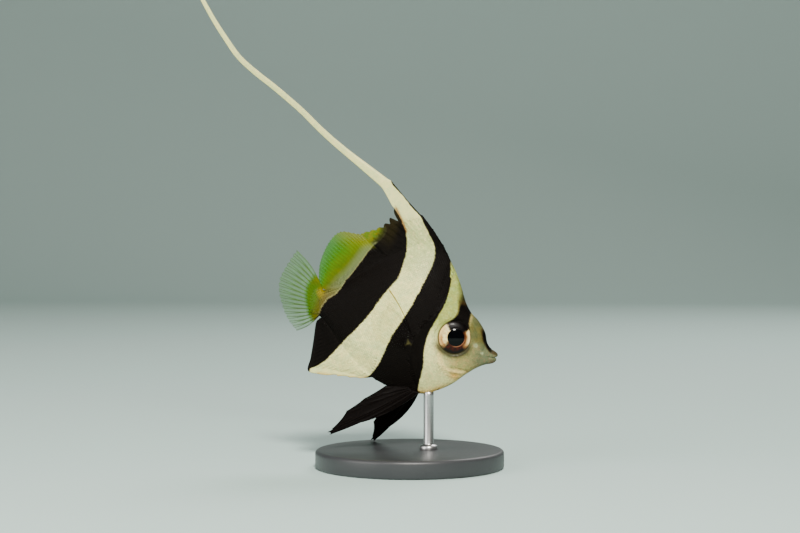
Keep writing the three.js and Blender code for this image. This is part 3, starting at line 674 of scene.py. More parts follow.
def make_nostrils(side, material):
    """Two small raised rims in front of the eye."""
    bm = bmesh.new()
    layer = bm.verts.layers.float_vector.new("fish_place")
    step = 0.05
    for behind, up, radius in NOSTRILS:
        outward = Vector((
            (side_half(behind + step, up) - side_half(behind - step, up)) / (2 * step), -1,
            (side_half(behind, up - step) - side_half(behind, up + step)) / (2 * step),
        )).normalized()
        turn = Vector((0, 0, 1)).rotation_difference(outward).to_matrix()
        tube = radius * 0.24
        ring = [(radius + tube * math.cos(a), tube * math.sin(a)) for a in np.linspace(0, math.tau, 11)]
        made = bmesh.ops.create_grid(bm, x_segments=20, y_segments=10, size=1)["verts"]
        for vert in made:
            around, about = round((vert.co.x + 1) * 10) / 20 * math.tau, round((vert.co.y + 1) * 5)
            r, z = ring[about]
            local = turn @ Vector((r * math.cos(around), r * math.sin(around), z))
            vert.co = Vector((-behind, -side_half(behind, up) - 0.02, up)) + local
            vert[layer] = (behind, 0, up)
    close_up(bm)
    put_on_side(bm, side)
    piece(f"nostril_rims_{side}", bm, material)


# ---------------------------------------------------------------- fins

def rayed_fin(roots, tips, bows, per_ray, rows, film, ridge, width, branch_from=0.45, ridge_from=0):
    """A fin in the plane y = 0: a film with a ridge on each ray, which forks towards the margin.

    The film is given as half its thickness at the root and at the margin, and how fast it thins. The layer
    fin_place holds (ray number, share of the ray's length, 1 on a ray to 0 between rays).
    """
    notch = 0.03  # the margin is cut in this deep between two rays
    roots, tips, bows = np.asarray(roots, float), np.asarray(tips, float), np.asarray(bows, float)
    count = len(roots)
    number = np.linspace(0, count - 1, (count - 1) * per_ray + 1)
    at = lambda values: np.stack([np.interp(number, np.arange(count), values[:, k]) for k in (0, 1)], axis=-1)
    root, tip = at(roots), at(tips)
    bow = np.interp(number, np.arange(count), bows)
    share = 1 - (1 - np.linspace(0, 1, rows)) ** 1.25
    off_ray = np.abs(number - np.round(number))
    reach = share * (1 - notch * np.sin(math.pi * np.clip(off_ray * 2, 0, 1) / 2) ** 0.8)[:, None]
    length = (tip - root)[:, None]
    sideways = np.stack([-length[..., 1], length[..., 0]], axis=-1)
    lift = (bow[:, None] * 4 * reach * (1 - reach))[..., None]
    points = root[:, None] + length * reach[..., None] + sideways * lift
    spacing = np.linalg.norm(np.gradient(points, axis=0), axis=-1) * per_ray
    fork = 0.22 * ease((share - branch_from) / (1 - branch_from))
    on_ray = bump(np.abs(off_ray[:, None] - fork) * spacing, width * (1 - 0.35 * share))
    rising = ease((share - ridge_from) * 7) if ridge_from else 1
    root_half, margin_half, thinning = film
    half = mix(root_half, margin_half, ease(share * thinning))[None]
    half = half + ridge * on_ray * (1 - 0.55 * share) * rising
    margin = np.concatenate([points[0], points[:, -1], points[::-1][0]])
    to_margin = np.clip(distance_to(points, margin) / 0.16, 0, 1)
    half = half * np.sqrt(1 - (1 - to_margin) ** 2)
    half[:, 0] = 0
    places = np.stack([-points[..., 0], -half, points[..., 1]], axis=-1)
    layer = np.stack([np.repeat(number[:, None], rows, 1), reach, on_ray], axis=-1)
    bm = sheet(places, fin_place=layer, fish_place=places * (-1, 0, 1))
    mirrored(bm)
    close_up(bm)
    return bm


def make_soft_dorsal(material):
    shares = np.linspace(0, 1, 24)
    behind = mix(*SOFT_ROOT, shares)
    roots = np.column_stack([behind, along(BACK, behind) - 0.25])
    tips = follow(SOFT_TIPS, shares)
    # One more ray lies hidden in the scaly skin in front, so that film and skin meet without a slit.
    roots, tips = np.vstack([roots[0] - (1.3, -1), roots]), np.vstack([(45.7, 20.25), tips])
    bm = rayed_fin(
        roots, tips, 0.04 * np.append(0, shares), per_ray=8, rows=34, film=(0.22, 0.1, 1.6), ridge=0.09,
        width=0.12, ridge_from=0.22,
    )
    pose(bm)
    piece("soft_dorsal_fin", bm, material, replaces=["dorsal_fin_soft"])


def make_tail_fin(material):
    count = 17
    shares = np.linspace(0, 1, count)
    roots = np.column_stack([np.full(count, BODY_LENGTH + 0.2), mix(1.5, -5.1, shares)])
    bm = rayed_fin(
        roots, follow(TAIL_TIPS, shares), 0.07 * (1 - 2 * shares), per_ray=10, rows=40,
        film=(0.46, 0.09, 1.9), ridge=0.11, width=0.14, branch_from=0.35, ridge_from=0.12,
    )
    pose(bm)
    piece("caudal_fin", bm, material, replaces=["tail_fin"])


def make_pelvic_fin(side, material):
    roots, tips, bows = zip(*PELVIC_RAYS)
    bm = rayed_fin(
        roots, tips, bows, per_ray=10, rows=40, film=(0.5, 0.1, 1.6), ridge=0.13, width=0.2,
        branch_from=0.3,
    )
    splay, forward = map(math.radians, PELVIC_POSE[side])
    turn = Matrix.Rotation(SIDES[side] * splay, 4, "X") @ Matrix.Rotation(-forward, 4, "Y")
    at = Vector((-PELVIC_ROOT["behind"], SIDES[side] * PELVIC_ROOT["apart"], PELVIC_ROOT["up"]))
    bmesh.ops.transform(bm, matrix=Matrix.Translation(at) @ turn, verts=bm.verts)
    pose(bm)
    piece(f"pelvic_{side}", bm, material, replaces=[f"pelvic_fin_{side}"])


def make_pectoral_fin(side, material):
    shares = np.linspace(0, 1, 15)
    roots = mix(np.array(PECTORAL_ROOT[0]), np.array(PECTORAL_ROOT[1]), shares[:, None])
    bm = rayed_fin(
        roots, follow(PECTORAL_TIPS, shares), mix(0.05, -0.04, shares), per_ray=8, rows=32,
        film=(0.4, 0.05, 3), ridge=0.07, width=0.1,
    )
    beside = side_half(23.2, -3.6) - 0.5
    for vert in bm.verts:
        out = max(0, -vert.co.x - PECTORAL_ROOT[0][0])
        vert.co.x += 0.1 * out
        vert.co.y -= beside + 0.42 * out + 0.35 * math.sin(out / 4)
    put_on_side(bm, side)
    piece(f"pectoral_{side}", bm, material, replaces=[f"pectoral_fin_{side}"])


# ---------------------------------------------------------------- scales

SCALE_LONG, SCALE_ROOT = 1.28, 0.38  # length of a scale of size 1, and the share of it in front of its root
ROW_SHARE = 0.54  # rows of scales lie this share of a scale's length apart
# The fins are scaly up to these lines: (behind, up).
SCALED_DORSAL = [(21, 24), (26, 27.5), (32, 29.5), (38, 26.5), (43, 20.6), (49, 16), (52, 9), (53, 4)]
SCALED_ANAL = [(31, -16.5), (38, -17.6), (44, -18.6), (47, -18.6), (48.4, -14), (50, -8)]
# How steeply the scales point upwards: (up, radians).
SCALE_RISE = [(-19, -0.75), (-14, -0.4), (-6, -0.12), (2, 0.03), (12, 0.3), (20, 0.62), (28, 0.8)]


def scale_shape():
    """One scale about 1 long: its root sunk, its rear edge round and raised, closed underneath."""
    bm = bmesh.new()
    bmesh.ops.create_grid(bm, x_segments=4, y_segments=3, size=1)
    for vert in bm.verts:
        back, across = (vert.co.x + 1) / 2, vert.co.y
        round_end = math.sqrt(max(0, 1 - (max(0, back - 0.35) / 0.65) ** 2.4))
        narrow = mix(0.8, 1, float(ease(back * 3)))
        inside = 1 if abs(across) < 0.9 and 0.1 < back < 0.95 else 0
        length = SCALE_LONG * (back - SCALE_ROOT)
        width = 0.6 * narrow * mix(0.35, 1, round_end)
        if back > 0.95:
            length -= 0.2 * across**2
        vert.co = (length, across * width, inside * mix(0.03, 0.085, back) - 0.02 * (1 - inside))
    rim = [edge for edge in bm.edges if edge.is_boundary]
    bmesh.ops.contextual_create(bm, geom=rim)
    bmesh.ops.recalc_face_normals(bm, faces=bm.faces)
    bm.verts.ensure_lookup_table()
    corners = np.array([vert.co[:] for vert in bm.verts])
    faces = [[vert.index for vert in face.verts] for face in bm.faces]
    bm.free()
    return corners, faces


def skin_arc(behind, up, steps=40):
    """Length along the skin's own curve from the belly's edge up to a place on the side."""
    bottom, top = along(BELLY, behind), along(BACK, behind)
    inside = np.clip(up, bottom, top)
    ups = bottom[:, None] + (inside - bottom)[:, None] * np.linspace(0, 1, steps)
    halves = body_half(np.repeat(behind[:, None], steps, 1), ups, relief=False)
    arc = np.hypot(np.diff(ups, axis=1), np.diff(halves, axis=1)).sum(axis=1)
    return arc + up - inside


def scale_places(surface, chosen, draw):
    """Roots of one part's scales on the right side: rows of (place, outward, lie, size, how proud, tone)."""
    zones = [
        # part, spacing along, middle of the zone, its reach, turn of its rows, how proud, which places belong
        ("trunk", 0.74, (36, 2), (18, 22), 0, 0.42,
         lambda b, h: b > along(GILL_EDGE, h) + 0.1 and along(BELLY, b) - 0.2 < h < along(BACK, b) + 0.3),
        ("head", 0.56, (14.5, 3), (10, 20), 0, 0.36, lambda b, h: b < along(GILL_EDGE, h) - 0.35),
        ("fin", 0.46, (37, 20), (20, 20), 0.48, 0.26, lambda b, h: h > along(BACK, b) + 0.3),
        ("fin", 0.46, (41, -14), (14, 14), -0.85, 0.26, lambda b, h: h < along(BELLY, b) - 0.2 and b > 30.5),
    ]
    found = []
    for part, step, (mid_behind, mid_up), (reach_along, reach_across), turn, proud, belongs in zones:
        if part != chosen:
            continue
        for row, v in enumerate(np.arange(-reach_across, reach_across, step * ROW_SHARE)):
            for u in np.arange(-reach_along + (row % 2) * step / 2, reach_along, step):
                b = mid_behind + u * math.cos(turn) - v * math.sin(turn) + draw.uniform(-0.06, 0.06) * step
                h = mid_up + u * math.sin(turn) + v * math.cos(turn) + draw.uniform(-0.05, 0.05) * step
                cover = scale_cover(part, b, h) if belongs(b, h) else 0
                if cover < 0.04:
                    continue
                place, outward, _, _ = surface.ray_cast(Vector((-b, -20, h)), Vector((0, 1, 0)))
                if place is None or place.y > -0.2 or abs(outward.y) < 0.3:
                    continue
                if outward.y > 0:
                    outward = -outward
                rise = float(along(SCALE_RISE, h))
                if part == "fin":
                    outward = outward.lerp(Vector((0, -1, 0)), 0.7).normalized()
                    rise = turn
                lie = Vector((-math.cos(rise), 0, math.sin(rise)))
                lie = (lie - outward * outward.dot(lie)).normalized()
                size = step * draw.uniform(0.97, 1.06) * mix(0.85, 1, cover)
                found.append((place, outward, lie, size, proud * mix(0.12, 1, cover), draw.random()))
    return found


def scale_cover(part, behind, up):
    """How fully scales stand at a place: 0 round the eye, the nostrils and the pectoral fin's root."""
    on_eye = eye_reach(behind, up) < 5.4
    on_nostril = any(math.hypot(behind - b, up - h) < radius * 2.6 for b, h, radius in NOSTRILS)
    on_arm = math.hypot(behind - 23.9, up + 3.9) < 1.7
    if on_eye or on_nostril or on_arm:
        return 0
    if part == "head":
        return float(ease((behind - 3.4) / 6.5))
    if part == "trunk" and behind > 44:
        inside = min(up - float(along(BELLY, behind)), float(along(BACK, behind)) - up)
        near_edge = mix(1, float(ease((inside + 0.1) / 1.4)), float(ease((behind - 44) / 4)))
        return near_edge * float(ease((54 - behind) / 3.6))
    return float(ease(-scale_stop(behind, up) / 1.8)) if part == "fin" else 1


def scale_stop(behind, up):
    """How far a place lies past the line where a fin's film is bare, below 0 on the scaly part."""
    if up > 0:
        return up - float(along(SCALED_DORSAL, behind))
    return float(along(SCALED_ANAL, behind)) - up


def make_scales(surface, part, material):
    """The scales of the trunk, the head or the fins, one piece a side."""
    found = scale_places(surface, part, random.Random(7))
    corners, faces = scale_shape()
    place, outward, lie, size, proud, tone = map(np.array, zip(*found))
    across = np.cross(outward, lie)
    local = (
        corners[None, :, 0, None] * lie[:, None] * size[:, None, None]
        + corners[None, :, 1, None] * across[:, None] * size[:, None, None]
        + corners[None, :, 2, None] * outward[:, None] * (size * proud)[:, None, None] * 1.3
    )
    verts = place[:, None] + local
    # Every scale has a small patch of its own on a map of the unrolled side.
    patch, map_long, map_high, below_edge = 0.003, 56, 70, 8
    arc = skin_arc(-place[:, 0], place[:, 2])
    root_uv = np.stack([
        0.01 + 0.98 * -place[:, 0] / map_long, 0.02 + 0.96 * (arc + below_edge) / map_high,
    ], axis=-1)
    uv = root_uv[:, None] + corners[None, :, :2] * patch / 2
    count, each = len(found), len(corners)
    all_faces = [[corner + each * k for corner in face] for k in range(count) for face in faces]
    places = mix(place[:, None], verts, 0.75).reshape(-1, 3) * (-1, 1, 1)
    back_share = np.tile(corners[:, 0] / SCALE_LONG + SCALE_ROOT, count)
    layers = {
        "fish_place": places,
        "fish_marks": marks_at(places[:, 0], places[:, 2]),
        "scale_tone": np.column_stack([np.repeat(tone, each), back_share, np.tile(corners[:, 1], count)]),
    }
    for side, sign in SIDES.items():
        mesh = bpy.data.meshes.new(f"{part}_scales_{side}")
        side_faces = [face[::-1] for face in all_faces] if sign > 0 else all_faces
        mesh.from_pydata(posed(verts * (1, -sign, 1)).reshape(-1, 3), [], side_faces)
        for name, values in layers.items():
            attribute = mesh.attributes.new(name, "FLOAT_VECTOR", "POINT")
            attribute.data.foreach_set("vector", values.astype(np.float32).ravel())
        loop_verts = np.empty(len(mesh.loops), int)
        mesh.loops.foreach_get("vertex_index", loop_verts)
        corner_uv = uv.reshape(-1, 2)[loop_verts].astype(np.float32)
        mesh.uv_layers.new(name="OFBake").data.foreach_set("uv", corner_uv.ravel())
        mesh.polygons.foreach_set("use_smooth", [True] * len(mesh.polygons))
        adopt(f"{part}_scales_{side}", mesh, material)


# ---------------------------------------------------------------- looks

# Where the edges of the markings lie, seen from the side: rows of (up, behind).
BAND_1_FRONT = [
    (-18, 17.4), (-13.5, 17.8), (-10.4, 18.1), (-7, 18.6), (-4.6, 19.3), (-1.4, 19.75), (1.5, 19.65),
    (5.1, 18.95), (9.5, 18.25), (12.2, 18.25), (15.7, 18.65), (17.3, 19.3), (19.6, 20.1), (24, 22.4),
]
BAND_1_REAR = [
    (-19, 33.4), (-16.9, 32.1), (-13.4, 30.5), (-8.5, 29.6), (-5, 29.3), (-0.8, 28.4), (3.6, 27.2),
    (9, 26.15), (13.5, 25.6), (17, 25.1), (20.4, 25.1), (23.8, 26.4), (25.3, 27.9), (27.1, 29.7),
    (28.8, 31.4), (30, 32.7), (30.6, 33.9), (31.8, 36.1), (33.3, 38.4), (34.6, 40.8), (35.8, 42.9),
    (36.6, 43.5),
]
BAND_2_FRONT = [
    (-20, 48), (-18.1, 45.8), (-14.4, 43.6), (-8.9, 41.1), (-3.7, 38.5), (2.1, 36.2), (7.9, 34.4),
    (12.3, 32.7), (16.4, 32.7), (20.5, 33.2), (23.8, 34.6), (26.8, 36.8), (29.2, 39.4), (29.8, 40.3),
    (30.5, 43),
]
BAND_2_REAR = [
    (-20, 51.4), (-6.4, 51), (-4.9, 50.4), (-3, 50), (-1.6, 49.5), (0.2, 48.8), (1.8, 47.8), (6.4, 46.3),
    (10.8, 44.7), (15.7, 43.2), (18.4, 42.3), (20.2, 41.4), (22.3, 40.8), (23.5, 41), (24.9, 42.4), (27, 45),
]
EYE_BAND_FRONT = [(3, 9.2), (5.2, 9.7), (6.7, 10.3), (8, 10.6), (9.1, 10.6), (10.3, 11.4), (12, 13)]
EYE_BAND_REAR = [
    (3, 16.4), (5.1, 15.8), (6.6, 14.7), (8, 14.1), (9.6, 14.2), (11.1, 14.5), (12.4, 14.9), (14, 15.1),
    (16, 16.2),
]
SADDLE_REAR = [(0.35, 1.5), (1.2, 2.8), (2.2, 4.1), (3.6, 5.3), (5, 6.15), (7, 6.7)]
CURVE_LOW, CURVE_SPAN = -22, 66  # the heights, and the places behind the snout, that a curve node spans


def srgb(red, green, blue):
    """A colour given as on a screen, 0 to 255, in the renderer's own scale."""
    linear = [((c / 255 + 0.055) / 1.055) ** 2.4 if c > 10 else c / 255 / 12.92 for c in (red, green, blue)]
    return (*linear, 1)


class Amount:
    """A socket that makes Math nodes when it is used in a sum."""

    def __init__(self, look, socket):
        self.look, self.socket = look, socket

    def __add__(self, other):
        return self.look.math("ADD", self, other)

    def __sub__(self, other):
        return self.look.math("SUBTRACT", self, other)

    def __rsub__(self, other):
        return self.look.math("SUBTRACT", other, self)

    def __mul__(self, other):
        return self.look.math("MULTIPLY", self, other)

    def __truediv__(self, other):
        return self.look.math("DIVIDE", self, other)

    def __rtruediv__(self, other):
        return self.look.math("DIVIDE", other, self)

    def __pow__(self, other):
        return self.look.math("POWER", self, other)

    def __rpow__(self, other):
        return self.look.math("POWER", other, self)

    __radd__, __rmul__ = __add__, __mul__


class Look:
    """A finish: the material, its shader, and the nodes that vary it."""

    def __init__(self, name, constants):
        self.material = bpy.data.materials.new(name)
        self.material.use_nodes = True
        self.tree = self.material.node_tree
        self.shader = self.tree.nodes["Principled BSDF"]
        for socket, value in constants.items():
            self.shader.inputs[socket].default_value = value

    def node(self, kind, settings=None, inputs=None, output=0):
        node = self.tree.nodes.new("ShaderNode" + kind)
        for name, value in (settings or {}).items():
            if name == "curve":
                self.set_curve(node, value)
            else:
                setattr(node, name, value)
        for key, value in (inputs or {}).items():
            self.put(node.inputs[key], value)
        return Amount(self, node.outputs[output])

    def put(self, socket, value):
        if isinstance(value, Amount):
            self.tree.links.new(value.socket, socket)
        else:
            socket.default_value = value

    @staticmethod
    def set_curve(node, points):
        """Puts points on a curve node, which has two from the start."""
        line = node.mapping.curves[0]
        for _ in points[2:]:
            line.points.new(0.5, 0.5)
        for point, (x, y) in zip(line.points, points):
            point.location = (x, y)
        node.mapping.extend = "HORIZONTAL"
        node.mapping.update()

    def paint(self, **sockets):
        for name, value in sockets.items():
            self.put(self.shader.inputs[name.replace("_", " ").title()], value)

    def math(self, operation, a, b=0):
        return self.node("Math", {"operation": operation}, {0: a, 1: b})

    def step(self, value, low, high):
        """0 below low, 1 above high, and a soft rise between them."""
        return self.node("MapRange", {"interpolation_type": "SMOOTHSTEP"}, {0: value, 1: low, 2: high})

    def window(self, value, low, full, fading, high):
        """0 below low, 1 from full to fading, and 0 again above high."""
        return self.step(value, low, full) * (1 - self.step(value, fading, high))

    def between(self, value, low, high, soft):
        """1 between two edges that are softened to both sides."""
        return self.step(value, low - soft, low + soft) * (1 - self.step(value, high - soft, high + soft))

    def distance(self, x, y):
        """Length of the line across a way x and a way y."""
        return self.math("SQRT", x ** 2 + y ** 2)

    def blend(self, share, a, b, kind="MIX"):
        """Colour a where the share is 0, colour b where it is 1."""
        first, second, result = 6, 7, 2  # the Mix node's sockets for colours
        settings = {"data_type": "RGBA", "blend_type": kind}
        return self.node("Mix", settings, {0: share, first: a, second: b}, result)

    def fade(self, value, low, high, a, b):
        """Colour a where a value is below low, colour b where it is above high."""
        return self.blend(self.step(value, low, high), a, b)

    def coats(self, ground, *layers):
        """Lays colours over a ground one after another, each given as (share, colour)."""
        for share, colour in layers:
            ground = self.blend(share, ground, colour)
        return ground

    def attribute(self, name):
        return self.node("Attribute", {"attribute_name": name}, output="Vector")

    def split(self, vector):
        parts = self.node("SeparateXYZ", None, {0: vector}).socket.node
        return [Amount(self, output) for output in parts.outputs]

    def noise(self, vector, scale, detail=2):
        inputs = {"Vector": vector, "Scale": scale, "Detail": detail, "Roughness": 0.5}
        return self.node("TexNoise", None, inputs)

    def edge_at(self, up, rows):
        """How far behind the snout a marking's edge lies at a height."""
        points = [((h - CURVE_LOW) / CURVE_SPAN, b / CURVE_SPAN) for h, b in rows]
        height = (up - CURVE_LOW) / CURVE_SPAN
        return self.node("FloatCurve", {"curve": points}, {"Value": height}) * CURVE_SPAN

    def raise_by(self, height, distance, strength):
        """Sends a height in millimetres to the shader as a bump."""
        made = self.node("Bump", None, {"Height": height, "Distance": distance * MM, "Strength": strength})
        self.paint(Normal=made)


def fish_colour(look):
    """The colour of the skin and the fins' scaly parts, the share of dark band in it, and the place."""
    place = look.attribute("fish_place")
    behind, _, up = look.split(place)
    ragged = (look.noise(place, 0.8) - 0.5) * 0.6 + (look.noise(place, 4.5) - 0.5) * 0.3
    b = behind + ragged
    ridge, painted_eye_shade_and_fin_line, warm = look.split(look.attribute("fish_marks"))
    soft = 0.2
    below_banner = 1 - look.step(up, 29.7, 30.2)
    on_head = 1 - look.step(b, 19.5, 21.5)

    # Pale ground: ivory with a cool lower side, greener on the head, and painted shade darkening the upper
    # side.
    mottle = look.noise(place, 0.45, 3)
    speck = look.noise(place, 1.1, 3)
    fine = look.noise(place, 3.5, 3)
    ivory = look.coats(
        look.fade(mottle, 0.35, 0.7, srgb(206, 202, 134), srgb(188, 194, 132)),
        # painted shade: the upper side darker, from 11 to 30 mm up
        (look.window(up, 11, 18, 25, 30) * 0.9, srgb(158, 167, 108)),
        (look.step(speck, 0.52, 0.75) * 0.6, srgb(172, 182, 128)),
        ((1 - look.step(speck, 0.3, 0.46)) * 0.45, srgb(218, 198, 142)),
        (look.step(fine, 0.45, 0.8) * 0.5, srgb(218, 212, 154)),
    )
    nape = look.fade(mottle, 0.3, 0.7, srgb(152, 154, 80), srgb(134, 146, 72))
    cheek = look.coats(
        look.fade(speck, 0.4, 0.62, srgb(136, 134, 78), srgb(160, 140, 84)),
        (look.step(fine, 0.4, 0.7) * 0.6, srgb(150, 146, 92)),
    )
    # The snout: its own grey-green, painted darker than the cheek as shade on the front of the face.
    snout = look.coats(
        look.fade(fine, 0.35, 0.65, srgb(100, 100, 70), srgb(78, 90, 64)),
        (look.step(speck, 0.55, 0.7) * 0.5, srgb(128, 96, 72)),
    )
    brow = look.coats(
        look.fade(mottle, 0.4, 0.6, srgb(80, 74, 28), srgb(62, 70, 38)),
        (look.step(fine, 0.5, 0.75) * 0.5, srgb(98, 98, 56)),
    )
    orange = look.fade(speck, 0.4, 0.65, srgb(190, 128, 32), srgb(178, 134, 52))
    orange = look.fade(up, 18, 22, orange, srgb(118, 62, 0))
    chest = on_head * (1 - look.step(up, -9, -5))
    pink = look.step(speck, 0.5, 0.68) * (1 - look.step(up, -1, 3))
    green = 1 - look.step(speck, 0.34, 0.5)
    on_cheek = (1 - look.step(b, 9.5, 16)) * look.step(up, -9.5, -6.5)
    on_snout = (1 - look.step(b, 3.5, 10.5)) * look.step(up, -7, -2)
    on_brow = (1 - look.step(b, 9.3, 10.8)) * look.step(up, 0.8, 3.6)
    lip = (1 - look.step(b, 0.3, 2.6)) * (1 - look.step(up, -1.3, -0.3))
    spots = 0
    uneven = (look.noise(place, 2.2) - 0.5) * 0.9
    for spot_behind, spot_up, size in ((6.6, 1.55, 0.6), (4.3, 0.15, 0.45)):
        away = look.distance(behind - spot_behind, up - spot_up) + uneven
        spots = (1 - look.step(away, 0, size * 1.6)) + spots
    ground = look.coats(
        ivory,
        (on_head * look.step(up, -1, 5), nape),
        (chest * 0.8, srgb(186, 186, 126)),
        (on_head * pink * 0.4, srgb(206, 172, 118)),
        (on_head * green * 0.45, srgb(156, 172, 112)),
        (on_cheek, cheek),
        (on_snout, snout),
        (on_brow * 0.85, brow),
        (ridge * look.step(b, 6, 8) * 0.9, srgb(222, 202, 132)),
        (lip * 0.75, srgb(84, 56, 40)),
        (warm * 0.85, orange),
        # painted shade under and round the eye, and a dark line along the spiny fin's margin
        (painted_eye_shade_and_fin_line * 0.9, srgb(26, 28, 16)),
        (spots * 0.5, srgb(172, 184, 140)),
    )

    # Behind the second band: a pale strip, then olive, gold at the fin's upper edge and the tail's root.
    past_band = b - look.edge_at(up, BAND_2_REAR)
    strip = look.fade(up, -1, 7, srgb(78, 68, 18), srgb(88, 98, 58))
    strip = look.fade(up, 17.3, 19.3, strip, srgb(58, 62, 8))
    olive = look.fade(mottle, 0.3, 0.7, srgb(62, 80, 0), srgb(78, 86, 0))
    rear = look.step(past_band, 1, 3.4) * look.step(up, 1, 3)
    gold = look.fade(speck, 0.4, 0.65, srgb(72, 94, 0), srgb(98, 98, 0))
    gold = look.fade(past_band, 0, 2.4, srgb(46, 50, 0), gold)
    gold_edge = look.step(past_band + look.step(up, 18, 20) * 2.5, 1, 2.4) * look.step(up, 16.5, 19.5)
    on_tail = 1 - look.step(up, 1.8, 3.6)
    from_spot = look.distance(behind - 50.9, (up - 1) * 0.8)
    ground = look.coats(
        ground,
        (look.step(past_band, -0.6, 0.4) * below_banner, strip),
        (rear * below_banner, olive),
        (gold_edge * below_banner, gold),
        (look.step(behind, 49.4, 51.2) * on_tail, srgb(72, 72, 2)),
        (look.step(behind + up * 0.25, 50.2, 52.2) * on_tail, srgb(56, 84, 0)),
        (1 - look.step(from_spot, 0.1, 1.7), srgb(118, 104, 0)),
    )

    # Dark bands, with a thin brown border.
    first = look.between(b, look.edge_at(up, BAND_1_FRONT), look.edge_at(up, BAND_1_REAR), soft)
    second_front = look.edge_at(up, BAND_2_FRONT)
    blur = look.step(up, 16, 21) * 0.7 + soft
    second = look.step(b, second_front - soft, second_front + soft) * below_banner
    second = second * (1 - look.step(past_band, 0 - blur, blur))
    eye_front, eye_rear = look.edge_at(up, EYE_BAND_FRONT), look.edge_at(up, EYE_BAND_REAR)
    eye_soft = look.step(up, 9, 13) * 0.8
    eye_band = look.step(b, eye_front - 0.35, eye_front + 0.25)
    eye_band = eye_band * (1 - look.step(b, eye_rear - 0.3 - eye_soft, eye_rear + 0.5 + eye_soft))
    ground = look.blend(eye_band * look.window(up, 9, 11, 13.5, 18.5), ground, srgb(38, 38, 10))
    eye_band = eye_band * look.window(up, 2, 4, 10.4, 12.6)
    saddle_rear = look.edge_at(up, SADDLE_REAR)
    saddle = 1 - look.step(b, saddle_rear - 0.5, saddle_rear + 0.4)
    saddle = saddle * look.window(up, 0.5, 1.1, 5.4, 7.6) * (0.55 + look.step(b, 0.6, 3) * 0.45)
    dark = first
    for band in (second, eye_band, saddle):
        dark = look.math("MAXIMUM", dark, band)
    brown = look.fade(fine, 0.4, 0.8, srgb(4, 2, 1), srgb(11, 7, 4))
    brown = look.blend(look.step(up, 17, 24) * look.step(b, 36, 39) * 0.8, brown, srgb(28, 23, 5))
    border = look.window(dark, 0.02, 0.4, 0.6, 0.98) * (1 - look.step(up, 16, 19) * look.step(b, 39, 40))

    # A small dim star where the pectoral fin is hinged.
    star_behind, star_up = behind - 24.15, up + 3.65
    from_star = look.distance(star_behind, star_up)
    turn = look.math("ARCTAN2", star_up, star_behind)
    points = look.math("COSINE", turn * 3 + 0.9 + fine * 4)
    star = look.step(points, 0.1, 1) * (1 - look.step(from_star + speck * 1.4, 0.9, 2)) * 0.55
    star = star + (1 - look.step(from_star + (fine - 0.5) * 0.8, 0.1, 0.75)) * 0.8
    colour = look.coats(
        ground, (dark, brown), (border * 0.4, srgb(70, 46, 16)), (star * 0.7, srgb(74, 70, 38)),
    )
    return colour, dark, place


def skin_look(name, scaled):
    """Wet skin, or its scales: each of its own tone and darker towards its rear edge."""
    look = Look(name, {"Specular IOR Level": 0.08, "Coat Roughness": 0.28, "IOR": 1.4})
    colour, dark, place = fish_colour(look)
    grain = look.noise(look.node("TexCoord", output="Object"), 2600)
    rough = 0.46 + (look.noise(place, 1.6) - 0.5) * 0.2 + dark * 0.1
    if scaled:
        tone, back_share, _ = look.split(look.attribute("scale_tone"))
        light = tone * 0.26 + 0.96 - look.step(back_share, 0.62, 1) * 0.36
        tint = look.node("CombineColor", None, {0: light, 1: light, 2: light})
        colour = look.blend(1, colour, tint, "MULTIPLY")
        rough = rough + (tone - 0.5) * 0.12
    look.paint(Base_Color=colour, Roughness=rough, Coat_Weight=0.17 - dark * 0.17)
    look.raise_by(grain, 0.03, 0.5)
    return look.material


def fin_look(name, colours, see_through):
    """A rayed fin. Both functions get (look, number, share, on_ray) and give its colour and its alpha."""
    look = Look(name, {"IOR": 1.4, "Specular IOR Level": 0.05})
    number, share, on_ray = look.split(look.attribute("fin_place"))
    look.paint(
        Base_Color=colours(look, number, share, on_ray),
        Alpha=see_through(look, number, share, on_ray),
        Roughness=0.42 - on_ray * 0.1,
    )
    joints = look.math("SINE", share * 260) * on_ray
    film = look.noise(look.attribute("fish_place"), 5, 3)
    look.raise_by(joints * 0.3 + film, 0.04, 0.6)
    return look.material


def soft_dorsal_colour(look, number, share, on_ray):
    base = fish_colour(look)[0]
    front = look.blend(on_ray, srgb(112, 122, 4), srgb(88, 84, 0))
    rear = look.blend(on_ray, srgb(50, 116, 18), srgb(48, 78, 0))
    outer = look.fade(number, 3, 11, front, rear)
    return look.fade(share, 0.35, 0.85, base, outer)


def soft_dorsal_alpha(look, number, share, on_ray):
    return 1 - look.step(share, 0.5, 0.95) * (0.55 - on_ray * 0.45)


def past_root(look):
    """0 on the tail fin's dense inner part, 1 where its film is clear: a soft arc round the tail's root."""
    behind, _, up = look.split(look.attribute("fish_place"))
    return look.step(look.distance(behind - 49.2, up * 0.72), 4.9, 6.8)


def tail_colour(look, number, share, on_ray):
    base = fish_colour(look)[0]
    outer = look.blend(on_ray, srgb(62, 122, 30), srgb(64, 76, 2))
    return look.blend(past_root(look), base, outer)


def tail_alpha(look, number, share, on_ray):
    film = 1 - past_root(look) * 0.84
    ray = 1 - look.step(share, 0.35, 1) * 0.5
    return film + (ray - film) * on_ray


def pelvic_colour(look, number, share, on_ray):
    speckle = look.noise(look.attribute("fish_place"), 2, 3)
    return look.fade(speckle, 0.4, 0.7, srgb(4, 2, 2), srgb(10, 6, 4))


def solid_alpha(look, number, share, on_ray):
    return 1


def pectoral_colour(look, number, share, on_ray):
    behind, _, up = look.split(look.attribute("fish_place"))
    inner = look.blend(on_ray, srgb(196, 192, 116), srgb(150, 142, 56))
    clear = look.fade(number, 0.15, 0.4, srgb(150, 132, 14), inner)
    return look.fade(behind - look.edge_at(up, BAND_1_REAR), 0.1, 0.9, srgb(7, 5, 3), clear)


